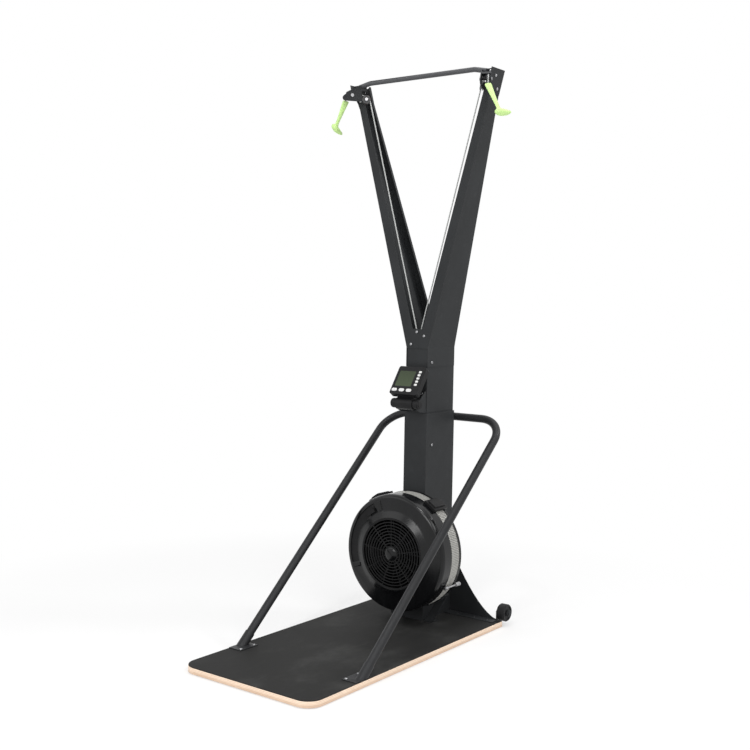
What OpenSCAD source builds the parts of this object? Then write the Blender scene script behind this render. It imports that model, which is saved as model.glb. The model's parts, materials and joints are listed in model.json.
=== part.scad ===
// Ski trainer: a plywood deck, a sheet steel column with two tapered arms, cord
// pulleys and handles at the arm tops, a caged fan flywheel at the column's foot,
// a bent hand rail and a tilting monitor.
// Units are millimetres. The origin is the middle of the deck's footprint on the
// floor, +Z is up, and the user stands on the -Y half of the deck facing +Y.

/* [Selection] */
// Sub-part to draw, or all of them

/* [Deck] */
// Width of the plywood deck
platform_w = 600; // [540:10:700]
// Length of the plywood deck, front to back
platform_l = 1200; // [1150:10:1400]
// Thickness of the plywood
board_t = 22; // [18:1:28]
// Thickness of the rubber mat glued on the plywood
mat_t = 3; // [2:0.5:5]
// Height of the rubber pads under the plywood
foot_h = 3; // [2:0.5:6]
// Radius of the deck's two front corners
corner_r = 60; // [30:5:90]

/* [Column] */
// Width of the upper column
column_w = 99; // [92:1:108]
// Depth of the upper column, front to back
column_d = 192; // [186:1:202]
// Distance from the column's front face to the deck's rear edge
column_setback = 210; // [206:1:230]
// Wall of the lower column shell
lower_wall = 4; // [3:0.5:4]
// Wall of the folded sheet parts
sheet_t = 2.5; // [2:0.5:3]
// Height of the top of the lower column shell
lower_top_z = 870; // [869:1:885]
// Height where the arms leave the column's sides
shoulder_z = 1132; // [1110:2:1142]
// Height of the flat bottom of the V between the arms
crotch_z = 1204; // [1196:2:1230]

/* [Arms and heads] */
// Height of the whole machine
overall_h = 2190; // [2100:10:2200]
// Outward lean of each arm from the vertical, degrees
arm_tilt = 14.9; // [13:0.1:16]
// Depth of an arm where it leaves the column
arm_root_d = 190; // [182:1:198]
// Depth of an arm at its head
arm_top_d = 59; // [56:1:66]
// Diameter of the bar across the arm tops
crossbar_d = 19; // [16:1:22]
// Outward turn of each head's cheek plate from straight ahead, degrees
head_yaw = 28; // [24:1:32]
// Diameter of the drive cords
cord_d = 5; // [4:0.5:6]
// Radius of the cord's centre line on the four small pulleys
pulley_r = 14.5; // [14:0.5:16]
// Lean of the right handle from the vertical, degrees
handle_lean = 26; // [20:1:28]
// Length of a handle from its top to the underside of its foot
handle_l = 130; // [120:1:140]

/* [Hand rail] */
// Outside diameter of the bent rail tube
rail_d = 32; // [30:1:34]
// Height of the rail's level part behind the column
rail_z = 842; // [822:1:843]
// Bend radius of the rail's two corners
rail_bend_r = 110; // [90:5:130]
// Half the distance between the rail's legs
rail_x = 282; // [268:1:284]

/* [Fan] */
// Height of the flywheel axle
fan_z = 321; // [311:1:331]
// Outside radius of the fan housing
fan_r = 234; // [224:1:240]
// Depth of the fan housing, front face to back face
fan_d = 137; // [132:1:146]
// Radius of the grille in the front cover
grille_r = 143; // [136:1:148]
// Radius of the cord's centre line on the two drive drums
drum_r = 25; // [22:1:27]

/* [Monitor] */
// Width of the monitor
monitor_w = 131; // [124:1:140]
// Height of the monitor along its face
monitor_h = 128; // [120:1:134]
// Lean of the monitor's face from the vertical, degrees
monitor_lean = 34.8; // [30:0.2:38]
// Height of the axis the monitor tilts about
tilt_z = 911; // [907:1:917]

/* [Hidden] */
$fn = 64;
// running clearance between pieces that turn or slide on each other
gap = 0.3;
// shank radius of every screw
shank_r = 3;
deck_z = foot_h + board_t + mat_t;
rear_y = platform_l / 2;
col_y = rear_y - column_setback;
half_w = column_w / 2;
low_half_w = half_w + lower_wall;
low_y0 = col_y - lower_wall;
low_y1 = col_y + column_d + lower_wall;
arm_k = tan(arm_tilt);
// outer and inner edges of the right arm's front flange at a height
function arm_outer_x(z) = half_w + sheet_t + (z - shoulder_z) * arm_k;
vee_half = 24.3;
flange_taper = 0.018;
function arm_inner_x(z) = vee_half + (z - crotch_z) * (arm_k + flange_taper);
head_z = overall_h - 57;
arm_top_z = overall_h - 30;
// the right head's reference: the cheek plate's outboard face at the front axle
head_o = [arm_outer_x(head_z) - 14.5, col_y - 59.6, head_z];
head_n = [cos(head_yaw), sin(head_yaw), 0];
head_d = [sin(head_yaw), -cos(head_yaw), 0];
pulley_off = 26;
// radius of the studs that the four small pulleys turn on, and half the pulleys' widths
axle_r = 4;
front_half = 8;
guide_half = 6;
front_c = head_o + pulley_off * head_n;
drop = front_c + pulley_r * head_d;
knot_z = head_z - 23;
knot_r = 3.1;
// how each handle hangs: its lean, the side it leans to and the way its toe points
right_hang = [handle_lean, 10, 75];
left_hang = [handle_lean + 4, 5, 95];
function unit(v) = v / norm(v);
// the corner where the cord turns down the arm, and the guide pulley in it
slot_x = 10;
slot_y = col_y + 8;
down_k = (arm_inner_x(head_z) - 21.5 - slot_x) / (head_z - crotch_z);
turn_k = [slot_x + (head_z - crotch_z) * down_k, slot_y, head_z];
// the cord leaves the front pulley where a line to that corner touches it
leave_a = asin(pulley_r / ((front_c - turn_k) * head_d));
top_t = front_c + pulley_r * [-sin(leave_a) * head_d.x, -sin(leave_a) * head_d.y, cos(leave_a)];
in_v = unit(turn_k - top_t);
out_v = unit([-down_k, 0, -1]);
turn_half = acos(in_v * out_v) / 2;
guide_c = turn_k + pulley_r / cos(turn_half) * unit(out_v - in_v);
guide_a = unit(cross(out_v, in_v));
rail_y = low_y1 + 6 + rail_d / 2;
rail_foot_y = -platform_l / 2 + 298;
rail_slope = atan2(rail_z - deck_z - 8, rail_y - rail_foot_y);
fan_back_y = low_y0;
fan_face_y = fan_back_y - fan_d;
grille_y = fan_face_y - 13;
damper_y = fan_face_y + 3 + gap;
tilt_y = col_y - 70;
// transport wheels: width, the plane of their brackets, and their axle's place
wheel_w = 36;
wheel_x = platform_w / 2 - 31;
wheel_y = rear_y + 26;
wheel_z = 55;
// edges of the perforated band between the fan's two covers
band_y0 = fan_face_y + 66;
band_y1 = fan_back_y - 18;
// outside radius of the flywheel's blades
blade_r = fan_r - 28;
// a point of the fan's face plane at an angle and a radius
function rim_pt(a, r) = [r * cos(a), fan_z + r * sin(a)];
// the monitor's buttons
button_travel = 1;
menu_x = [-47, -12.5, 22];
side_y = [46, 60.5, 75, 89.5, 104];

// One entry per sub-part, in drawing order.

// Points the z axis of its children along v, from point p.
module along(p, v) {
  translate(p)
    rotate([0, acos(v.z / norm(v)), atan2(v.y, v.x)])
      children();
}

// A cylinder between two points.
module rod(a, b, r) {
  along(a, b - a)
    cylinder(h = norm(b - a), r = r);
}

// Draws its children and their mirror image across the middle plane.
module both_sides() {
  children();
  mirror([1, 0, 0])
    children();
}

// Ring of a given width, axis along +Y from y.
module ring_y(y, w, r_in, r_out, z = fan_z) {
  translate([0, y, z])
    rotate([-90, 0, 0])
      difference() {
        cylinder(h = w, r = r_out);
        translate([0, 0, -1])
          cylinder(h = w + 2, r = r_in);
      }
}

// Solid disc, axis along +Y from y.
module disc_y(y, w, r, z = fan_z, x = 0) {
  translate([x, y, z])
    rotate([-90, 0, 0])
      cylinder(h = w, r = r);
}

// Plate drawn in the X-Z plane, from y to y + t.
module plate_xz(y, t, pts) {
  translate([0, y + t, 0])
    rotate([90, 0, 0])
      linear_extrude(height = t)
        polygon(pts);
}

// Plate drawn in the Y-Z plane, from x to x + t.
module plate_yz(x, t, pts) {
  translate([x, 0, 0])
    rotate([90, 0, 90])
      linear_extrude(height = t)
        polygon(pts);
}

// Rounded rectangle, corner at the middle.
module round_rect(w, h, r) {
  translate([-w / 2 + r, -h / 2])
    square([w - 2 * r, h]);
  translate([-w / 2, -h / 2 + r])
    square([w, h - 2 * r]);
  for (sx = [-1, 1])
    for (sy = [-1, 1])
      translate([sx * (w / 2 - r), sy * (h / 2 - r)])
        circle(r = r, $fn = 32);
}

// Button-head screw: head on the plane at z = 0, shank below it. As a hole it is
// the clearance bore that the plates under the head have.
module screw(shank_l = 2.4, hole = false, head_r = 5.5) {
  if (hole)
    translate([0, 0, -shank_l - 4])
      cylinder(h = shank_l + 5, r = shank_r + 0.2, $fn = 24);
  else {
    cylinder(h = 1.5, r = head_r, $fn = 24);
    translate([0, 0, 1.5])
      cylinder(h = 1.5, r1 = head_r, r2 = head_r * 0.6, $fn = 24);
    translate([0, 0, -shank_l])
      cylinder(h = shank_l, r = shank_r, $fn = 16);
  }
}

// Round sweep along a list of points, one closed mesh.
function path_dir(p, i) =
  i == 0 ? unit(p[1] - p[0]) :
  i == len(p) - 1 ? unit(p[i] - p[i - 1]) :
  unit(unit(p[i + 1] - p[i]) + unit(p[i] - p[i - 1]));
// carries the first side vector along the path without twist
function side_vec(p, i) =
  i == 0 ?
    unit(cross(path_dir(p, 0), abs(path_dir(p, 0).z) > 0.8 ? [1, 0, 0] : [0, 0, 1])) :
    let (s = side_vec(p, i - 1), t = path_dir(p, i))
    unit(s - (s * t) * t);
module sweep(p, r, n = 8) {
  pts = [
    for (i = [0 : len(p) - 1])
      let (t = path_dir(p, i), s = side_vec(p, i), u = cross(t, s))
      for (k = [0 : n - 1])
        p[i] + r * (cos(k * 360 / n) * s + sin(k * 360 / n) * u)
  ];
  m = len(p);
  faces = concat(
    [[for (k = [n - 1 : -1 : 0]) k]],
    [for (i = [0 : m - 2]) for (k = [0 : n - 1])
      [i * n + k, i * n + (k + 1) % n, (i + 1) * n + (k + 1) % n]],
    [for (i = [0 : m - 2]) for (k = [0 : n - 1])
      [i * n + k, (i + 1) * n + (k + 1) % n, (i + 1) * n + k]],
    [[for (k = [0 : n - 1]) (m - 1) * n + k]]
  );
  polyhedron(points = pts, faces = faces, convexity = 6);
}

// Arc points about c from direction a towards direction b, both unit and square.
function arc_pts(c, r, a, b, ang, n) =
  [for (i = [0 : n]) c + r * (cos(ang * i / n) * a + sin(ang * i / n) * b)];

// Deck.

module deck_outline(inset = 0) {
  w = platform_w - 2 * inset;
  l = platform_l - 2 * inset;
  r = corner_r - inset;
  translate([-w / 2 + r, -l / 2])
    square([w - 2 * r, l]);
  translate([-w / 2, -l / 2 + r])
    square([w, l - r]);
  for (s = [-1, 1])
    translate([s * (w / 2 - r), -l / 2 + r])
      circle(r = r, $fn = 96);
}

module platform_board() {
  color([0.83, 0.68, 0.47])
    translate([0, 0, foot_h])
      linear_extrude(height = board_t)
        deck_outline();
}

module rubber_mat() {
  color([0.13, 0.13, 0.13])
    translate([0, 0, foot_h + board_t])
      linear_extrude(height = mat_t)
        deck_outline(1);
}

module platform_feet() {
  color([0.1, 0.1, 0.1])
    for (x = [-1, 0, 1])
      for (y = [-0.82, 0, 0.82])
        translate([x * (platform_w / 2 - 50), y * platform_l / 2, 0])
          cylinder(h = foot_h, r = 22, $fn = 40);
}

// Flared edge of the rear gusset plate, from the deck (u = 0) to the column (u = 1).
flare_x = platform_w / 2 - 16;
flare_z = deck_z + 266;
function flare_pt(u) =
  [flare_x - (flare_x - low_half_w) * u, deck_z + 3 + (flare_z - deck_z - 3) * pow(u, 1.6)];

// Rear gusset plate that flares from the column to the deck, with its foot flange.
module foot_plate() {
  y0 = low_y1;
  color([0.12, 0.12, 0.12])
    difference() {
      union() {
        plate_xz(y0, 3, concat(
          [[-flare_x, deck_z], [flare_x, deck_z]],
          [for (i = [0 : 10]) flare_pt(i / 10)],
          [[low_half_w, flare_z + 40], [-low_half_w, flare_z + 40]],
          [for (i = [10 : -1 : 0]) [-flare_pt(i / 10).x, flare_pt(i / 10).y]]
        ));
        both_sides()
          translate([low_half_w + 2, y0 - 42, deck_z])
            cube([flare_x - low_half_w - 2, 42, 3]);
      }
      base_screw_set(true);
    }
}

module wheel_brackets() {
  x = wheel_x;
  cap_x = x + wheel_w + 6;
  color([0.2, 0.2, 0.2])
    both_sides()
      difference() {
        union() {
          // lug that carries the stub axle
          plate_yz(x, 3, concat(
            [[rear_y, wheel_z + 8], [rear_y, foot_h + 3]],
            [for (a = [-60 : 20 : 120]) [wheel_y + 13 * cos(a), wheel_z + 13 * sin(a)]]
          ));
          // base on the deck's rear edge
          translate([x - 34, rear_y, foot_h + 3])
            cube([37, 3, board_t - 5]);
          // stub axle with its stepped end cap
          rod([x, wheel_y, wheel_z], [cap_x, wheel_y, wheel_z], axle_r);
          rod([cap_x, wheel_y, wheel_z], [cap_x + 7, wheel_y, wheel_z], 14);
          rod([cap_x + 7, wheel_y, wheel_z], [cap_x + 10, wheel_y, wheel_z], 10);
        }
        base_screw_set(true);
      }
}

module wheel() {
  color([0.08, 0.08, 0.08])
    translate([wheel_x + 3 + gap + 1.2 + wheel_w / 2, wheel_y, wheel_z])
      rotate([0, 90, 0])
        difference() {
          union() {
            cylinder(h = wheel_w, r = 32, center = true);
            cylinder(h = wheel_w - 8, r = 35, center = true);
            translate([0, 0, -wheel_w / 2 - 1.2])
              cylinder(h = 4, r = 8);
          }
          cylinder(h = 2 * wheel_w, r = axle_r + gap, center = true);
          for (s = [-1, 1])
            translate([0, 0, s * wheel_w / 2])
              difference() {
                cylinder(h = 8, r = 27, center = true);
                cylinder(h = 9, r = 12, center = true);
              }
        }
}

// Column.

module lower_column() {
  h = lower_top_z - deck_z;
  color([0.27, 0.27, 0.28])
    difference() {
      translate([-low_half_w, low_y0, deck_z])
        cube([2 * low_half_w, low_y1 - low_y0, h]);
      translate([-half_w, col_y, deck_z - 1])
        cube([column_w, column_d, h + 2]);
      // opening for the flywheel axle and its bearing seat
      disc_y(low_y0 - 1, lower_wall + 2, 21);
      shell_screws(true);
      base_screw_set(true);
    }
}

module upper_column() {
  z0 = lower_top_z - 190;
  y1 = col_y + column_d;
  t = sheet_t;
  color([0.27, 0.27, 0.28])
    difference() {
      plate_yz(-half_w, column_w, [
        [col_y, z0], [y1, z0], [y1, shoulder_z], [y1 - 10, crotch_z], [col_y, crotch_z]
      ]);
      plate_yz(-half_w + t, column_w - 2 * t, [
        [col_y + t, z0 - 1], [y1 - t, z0 - 1], [y1 - t, shoulder_z],
        [y1 - 10 - t, crotch_z], [y1 - 10 - t, crotch_z + 1],
        [col_y + t, crotch_z + 1]
      ]);
      arm_screws(true);
      shell_screws(true);
      monitor_screws(true);
    }
}

module cord_slot_cap() {
  color([0.16, 0.16, 0.16])
    difference() {
      union() {
        translate([-half_w + sheet_t, col_y + sheet_t, crotch_z - 12])
          cube([column_w - 2 * sheet_t, 150, 3]);
        translate([-26, col_y + sheet_t, crotch_z - 12])
          cube([52, 14, 12]);
      }
      for (s = [-1, 1])
        translate([s * slot_x, slot_y, crotch_z - 20])
          cylinder(h = 40, r = cord_d / 2 + 2.4, $fn = 32);
      arm_screws(true);
    }
}

// Screw with its head on a face that looks towards -Y, and one that looks to +Y.
module screw_y(x, y, z, shank, hole) {
  translate([x, y, z])
    rotate([90, 0, 0])
      screw(shank, hole);
}

module screw_back(x, y, z, hole) {
  translate([x, y, z])
    rotate([-90, 0, 0])
      screw(3, hole);
}

module screw_side(x, y, z, shank, hole) {
  translate([x, y, z])
    rotate([0, 90, 0])
      screw(shank, hole);
}

// Arm gussets into the column's front, and arm tabs into its sides.
module arm_screws(hole = false) {
  screw_y(-30, col_y - sheet_t, crotch_z - 61, sheet_t + 4, hole);
  screw_y(32, col_y - sheet_t, crotch_z - 27, sheet_t + 4, hole);
  screw_y(-3, col_y - sheet_t, crotch_z - 12, sheet_t + 4, hole);
  both_sides()
    screw_side(half_w + sheet_t, col_y + 28, shoulder_z - 60, sheet_t + 2.2, hole);
}

// Lower shell into the upper column.
module shell_screws(hole = false) {
  both_sides()
    screw_side(low_half_w, col_y + 36, lower_top_z - 129, lower_wall + 2.2, hole);
  for (s = [-1, 1])
    screw_back(s * 40, low_y1, lower_top_z - 126, hole);
}

module monitor_screws(hole = false) {
  for (s = [-1, 1])
    for (z = [17, 78])
      screw_y(s * 27, col_y - 3, lower_top_z + z, 3 + sheet_t, hole);
}

module column_screws() {
  color([0.72, 0.72, 0.74]) {
    arm_screws();
    shell_screws();
    monitor_screws();
  }
}

// Arms.

// One arm: side web, front flange with its gusset on the column, rear flange with a
// return lip. seam is where its gusset stops near the middle of the column.
module arm(seam) {
  len_t = (arm_top_z - shoulder_z) / cos(arm_tilt);
  len_d = (head_z - 25 - shoulder_z) / cos(arm_tilt);
  rear_a = atan2(arm_root_d - arm_top_d, len_d);
  difference() {
    union() {
      translate([half_w, col_y, shoulder_z])
        rotate([0, arm_tilt, 0]) {
          // web
          plate_yz(0, sheet_t, [
            [-sheet_t, 0], [arm_root_d, 0], [arm_top_d, len_d],
            [arm_top_d, len_t], [-sheet_t, len_t]
          ]);
          // rear flange and return lip
          translate([-30, arm_root_d, 0])
            rotate([rear_a, 0, 0]) {
              translate([0, -sheet_t, 0])
                cube([30, sheet_t, len_d / cos(rear_a)]);
              translate([0, -12, 14])
                cube([sheet_t, 12, len_d / cos(rear_a) - 14]);
            }
        }
      // tab on the column's side
      translate([half_w, col_y - sheet_t, shoulder_z - 78])
        cube([sheet_t, arm_root_d + sheet_t, 79.5]);
      // front flange
      plate_xz(col_y - sheet_t, sheet_t, [
        [seam, shoulder_z - 5], [half_w + sheet_t, shoulder_z - 5],
        [half_w + sheet_t, shoulder_z],
        [arm_outer_x(arm_top_z), arm_top_z], [arm_inner_x(arm_top_z), arm_top_z],
        [vee_half, crotch_z], [seam, crotch_z]
      ]);
    }
    // the rear flange may not run into the column's own walls
    translate([-half_w, col_y, shoulder_z - 100])
      cube([column_w, column_d + 40, crotch_z - shoulder_z + 100]);
    // room for the guide pulley's stud through the front flange
    intersection() {
      along(guide_c, guide_a)
        cylinder(h = guide_reach, r = 6.6, $fn = 32);
      translate([0, col_y - 8, crotch_z])
        cube([500, 9, 1000]);
    }
  }
}

module left_arm() {
  color([0.27, 0.27, 0.28])
    difference() {
      mirror([1, 0, 0])
        arm(-7.5);
      arm_screws(true);
      both_sides()
        head_screws(true);
    }
}

module right_arm() {
  color([0.27, 0.27, 0.28])
    difference() {
      arm(7.8);
      arm_screws(true);
      head_screws(true);
    }
}

// Bar across the arm tops, its ends bent down onto the heads' mounting flanges.
module crossbar_path(r) {
  y = col_y - sheet_t - 3 - crossbar_d / 2;
  zc = overall_h - crossbar_d / 2;
  bx = head_o.x - 64;
  bend = 60;
  drop_a = 11.5;
  rod([-bx, y, zc], [bx, y, zc], r);
  both_sides() {
    translate([bx, y, zc - bend])
      rotate([90, 0, 0])
        rotate([0, 0, 90 - drop_a])
          rotate_extrude(angle = drop_a)
            translate([bend, 0])
              circle(r = r, $fn = 40);
    translate([bx, y, zc - bend])
      rotate([0, drop_a, 0])
        rod([0, 0, bend], [48, 0, bend], r);
  }
}

module crossbar() {
  color([0.3, 0.3, 0.31])
    crossbar_path(crossbar_d / 2);
}

// Heads.

// Puts its children in the right head's frame: x outboard, -y ahead, z up.
module head_frame() {
  translate(head_o)
    rotate([0, 0, head_yaw])
      children();
}

module head() {
  flange_y = col_y - sheet_t - 3;
  top = overall_h - 10;
  root = (col_y - sheet_t - head_o.y) / cos(head_yaw);
  color([0.3, 0.3, 0.31])
    difference() {
      union() {
        head_frame() {
          // cheek plate with its rounded nose
          plate_yz(-3, 3, concat(
            [[-11, 16.5], [10.5, 28], [34, 41], [root, 45], [root, 20], [44, 20],
             [44, -20], [24, -22], [-26, -23]],
            [for (a = [250 : -20 : 130]) [-29 + 11 * cos(a), -12 + 11 * sin(a)]]
          ));
          // folded bridge over the cord
          translate([-1, -8, 15.6])
            rotate([29, 0, 0])
              cube([38, 19, 2.5]);
          // short outer cheek
          plate_yz(34.5, 2.5, [[-9, 15], [8, 25], [12, 20], [12, -12], [-12, -12]]);
        }
        // mounting flange on the arm's front
        plate_xz(flange_y, 3, [
          [head_o.x - 30.5, head_z + 20], [head_o.x - 30.5, top],
          [arm_outer_x(top), top], [arm_outer_x(head_z - 22) - 3, head_z - 22],
          [head_o.x - 12, head_z - 22], [head_o.x - 12, head_z + 5]
        ]);
      }
      // flush with the flange behind
      translate([head_o.x - 60, col_y - sheet_t, head_z - 60])
        cube([80, 40, 160]);
      // bores for the axle studs and the mounting screws
      head_frame()
        translate([-5, 0, 0])
          rotate([0, 90, 0])
            cylinder(h = 50, r = axle_r + 0.05, $fn = 32);
      head_screws(true);
      // the cord passes the flange here, and the crossbar lies in a notch
      rod(top_t, turn_k, cord_d / 2 + 2.5);
      crossbar_path(crossbar_d / 2);
    }
}

// Plate on the outside of the arm's web, held by two of the head's bolts.
module outer_plate() {
  z0 = (head_z - 43 - shoulder_z) / cos(arm_tilt);
  z1 = (overall_h - 10 - shoulder_z) / cos(arm_tilt);
  color([0.3, 0.3, 0.31])
    difference() {
      translate([half_w, col_y, shoulder_z])
        rotate([0, arm_tilt, 0])
          plate_yz(sheet_t, 3, [
            [0, z0], [arm_top_d, z0], [arm_top_d, z1], [-33, z1], [-33, z1 - 22],
            [-4, z0 + 18]
          ]);
      head_screws(true);
    }
}

// The arm's web: its outward normal and up direction, and where the guide stud meets it.
web_n = [cos(arm_tilt), 0, -sin(arm_tilt)];
web_up = [sin(arm_tilt), 0, cos(arm_tilt)];
web_o = [half_w, col_y, shoulder_z];
guide_reach = ((web_o - guide_c) * web_n) / (guide_a * web_n);
guide_hit = guide_c + guide_reach * guide_a;
// places along the web, [back from its front edge, up the web]
plate_screws = [
  [5, (head_z + 22 - shoulder_z) / cos(arm_tilt)],
  [guide_hit.y - col_y, (guide_hit - web_o) * web_up]
];

// Puts its children on the outer plate's outside at a place on the web.
module on_web(p) {
  translate(web_o)
    rotate([0, arm_tilt, 0])
      translate([sheet_t + 3, p[0], p[1]])
        rotate([0, 90, 0])
          children();
}

// Outer plate into the arm's web, and the head's flange into the arm's front.
module head_screws(hole = false) {
  for (p = plate_screws)
    on_web(p)
      screw(3 + sheet_t - 0.3, hole);
  for (p = [[-4, -16], [6, 38]])
    screw_y(head_o.x + p[0], col_y - sheet_t - 3, head_z + p[1],
            p[1] < 0 ? 5.4 : 3, hole);
}

module head_bolts() {
  color([0.7, 0.7, 0.72])
    both_sides() {
      // front axle, from the cheek to the outer cheek
      head_frame()
        rotate([0, 90, 0]) {
          translate([0, 0, -3])
            cylinder(h = 41, r = axle_r, $fn = 32);
          translate([0, 0, -7])
            cylinder(h = 4, r = 7, $fn = 32);
          translate([0, 0, 37])
            cylinder(h = 3.5, r = 6.5, $fn = 6);
          // spacer that holds the pulley off the cheek
          cylinder(h = pulley_off - front_half - 0.4, r = 6.5, $fn = 32);
        }
      // guide pulley stud, its foot welded on the inside of the arm's web
      difference() {
        along(guide_c - (guide_half + 3) * guide_a, guide_a) {
          cylinder(h = guide_reach + 30, r = axle_r, $fn = 32);
          cylinder(h = 2.6, r = 6.5, $fn = 32);
          translate([0, 0, 2 * guide_half + 3.5])
            cylinder(h = guide_reach, r = 6, $fn = 32);
        }
        translate(web_o)
          rotate([0, arm_tilt, 0])
            cube([60, 200, 1200]);
      }
      head_screws();
    }
}

// Small grooved pulley on the z axis, centred on z = 0: half its width, its rim
// radius, and the slope of its groove's walls, wide where the cord leaves askew.
module small_pulley(half, rim, wall_a) {
  c = cord_d / 2 + 0.5;
  mid = pulley_r + 0.2;
  low = mid - c * sin(wall_a);
  side = c * cos(wall_a) + (rim + 1 - low) * tan(wall_a);
  difference() {
    rotate_extrude($fn = 72)
      difference() {
        translate([axle_r + gap, -half])
          square([rim - axle_r - gap, 2 * half]);
        translate([mid, 0])
          circle(r = c, $fn = 24);
        polygon([
          [low, -c * cos(wall_a)], [rim + 1, -side], [rim + 1, side], [low, c * cos(wall_a)]
        ]);
      }
    for (a = [0 : 60 : 300])
      rotate([0, 0, a + 30])
        translate([8, 0, -half - 1])
          cylinder(h = 2 * half + 2, r = 1.6, $fn = 16);
  }
}

module front_pulley() {
  color([0.82, 0.82, 0.8])
    translate(front_c)
      rotate([0, 0, head_yaw])
        rotate([0, 90, 0])
          small_pulley(front_half, pulley_r + 1, 60);
}

module guide_pulley() {
  color([0.82, 0.82, 0.8])
    along(guide_c, guide_a)
      small_pulley(guide_half, pulley_r + 3, 25);
}

// Cords.

// Right drive cord: over the front pulley, round the guide pulley, down the arm,
// through the slot and down the column to its drum. drum_y is the drum's cord plane.
function cord_path(side, drum_y) =
  let (
    ga = unit(in_v - (in_v * guide_a) * guide_a),
    gout = cross(guide_a, ga),
    over = arc_pts(front_c, pulley_r, head_d, [0, 0, 1], 90 + leave_a, 8),
    round1 = arc_pts(guide_c, pulley_r, gout, ga, 2 * turn_half, 7),
    exit_p = [slot_x, slot_y, crotch_z - 8],
    up = [for (i = [1 : len(over) - 1]) over[i]],
    right = concat([drop, drop + [0, 0, 1]], up, round1,
                   [exit_p + [0.6, 0, 4], exit_p - [0, 0, 6]])
  )
  concat(
    [for (q = right) [side * q.x, q.y, q.z]],
    [[drum_r, drum_y, fan_z + 60], [drum_r, drum_y, fan_z]]
  );

module right_drive_cord() {
  color([0.72, 0.73, 0.72])
    sweep(cord_path(1, drum_y(0)), cord_d / 2);
}

module left_drive_cord() {
  color([0.72, 0.73, 0.72])
    sweep(cord_path(-1, drum_y(1)), cord_d / 2);
}

// The length between the front pulley and the knot in the handle, which grows as
// the handle is pulled.
module pull_cord() {
  color([0.72, 0.73, 0.72])
    translate([drop.x, drop.y, knot_z]) {
      cylinder(h = head_z - knot_z, r = cord_d / 2 - 0.05, $fn = 16);
      sphere(r = knot_r, $fn = 24);
    }
}

// Flat oval slice of a handle's stem, half as wide as w.
module stem_slice(z, w, flat, h = 1.2) {
  translate([0, 0, z])
    scale([1, flat, 1])
      cylinder(h = h, r = w / 2, $fn = 32);
}

// Crescent foot of a handle: a boat with upturned tips, its keel's middle at z = 0.
module handle_foot(half_l, half_w, depth, hollow) {
  keel_r = (half_l * half_l + depth * depth) / (2 * depth);
  deck_r = (half_l * half_l + hollow * hollow) / (2 * hollow);
  intersection() {
    rotate([90, 0, 0])
      linear_extrude(height = 4 * half_w, center = true)
        difference() {
          translate([0, keel_r])
            circle(r = keel_r, $fn = 128);
          translate([0, depth - hollow + deck_r])
            circle(r = deck_r, $fn = 256);
        }
    scale([1, half_w / half_l, 1])
      translate([0, 0, -1])
        cylinder(h = depth + 2, r = half_l - 1, $fn = 48);
  }
}

// Handle: a flat stem that narrows to a waist, and a crescent foot with a long toe.
// The cord's knot sits in a pocket under its top, and the handle leans about it.
module handle(hang) {
  keel = 14;
  stem = handle_l - keel;
  waist_z = -stem * 0.84;
  top = 5;
  color([0.8, 0.93, 0.42])
    translate([drop.x, drop.y, knot_z])
      rotate([0, 0, hang[1]])
        rotate([0, -hang[0], 0])
          rotate([0, 0, hang[2] - hang[1]])
            translate([0, 0, top]) {
              difference() {
                hull() {
                  stem_slice(-3, 32, 0.42);
                  stem_slice(-6, 33, 0.44);
                  stem_slice(waist_z, 16, 0.7);
                }
                // pocket for the knot, flared for the cord
                translate([0, 0, -top]) {
                  translate([0, 0, -6])
                    cylinder(h = 6.1, r = knot_r + gap, $fn = 32);
                  cylinder(h = top, r1 = knot_r + gap, r2 = knot_r + gap + 2.6, $fn = 32);
                }
              }
              hull() {
                stem_slice(waist_z, 16, 0.7);
                translate([6, 0, 0])
                  stem_slice(-stem - 4, 40, 0.55);
              }
              translate([15, 0, -handle_l])
                handle_foot(39, 15, 17, 4);
            }
}

// Hand rail.

// Rail frame: x across, -y down along the legs.
module rail_frame() {
  translate([0, rail_y, rail_z])
    rotate([rail_slope, 0, 0])
      children();
}

module support_rail() {
  r = rail_d / 2;
  b = rail_bend_r;
  run = norm([rail_y - rail_foot_y, rail_z - deck_z - 8]);
  color([0.32, 0.33, 0.34])
    difference() {
      rail_frame() {
        difference() {
          union() {
            rod([-(rail_x - b), 0, 0], [rail_x - b, 0, 0], r);
            for (s = [-1, 1]) {
              translate([s * (rail_x - b), -b, 0])
                rotate([0, 0, s > 0 ? 0 : 90])
                  rotate_extrude(angle = 90)
                    translate([b, 0])
                      circle(r = r, $fn = 40);
              rod([s * rail_x, -b, 0], [s * rail_x, -run - 20, 0], r);
            }
          }
          // the tube's bore, open at both feet
          union() {
            rod([-(rail_x - b), 0, 0], [rail_x - b, 0, 0], r - 2);
            for (s = [-1, 1]) {
              translate([s * (rail_x - b), -b, 0])
                rotate([0, 0, s > 0 ? 0 : 90])
                  rotate_extrude(angle = 90)
                    translate([b, 0])
                      circle(r = r - 2, $fn = 40);
              rod([s * rail_x, -b, 0], [s * rail_x, -run - 60, 0], r - 2);
            }
          }
        }
      }
      // cut level on the foot brackets
      translate([-400, -platform_l, deck_z + 3 - 300])
        cube([800, 2 * platform_l, 300]);
    }
}

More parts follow.
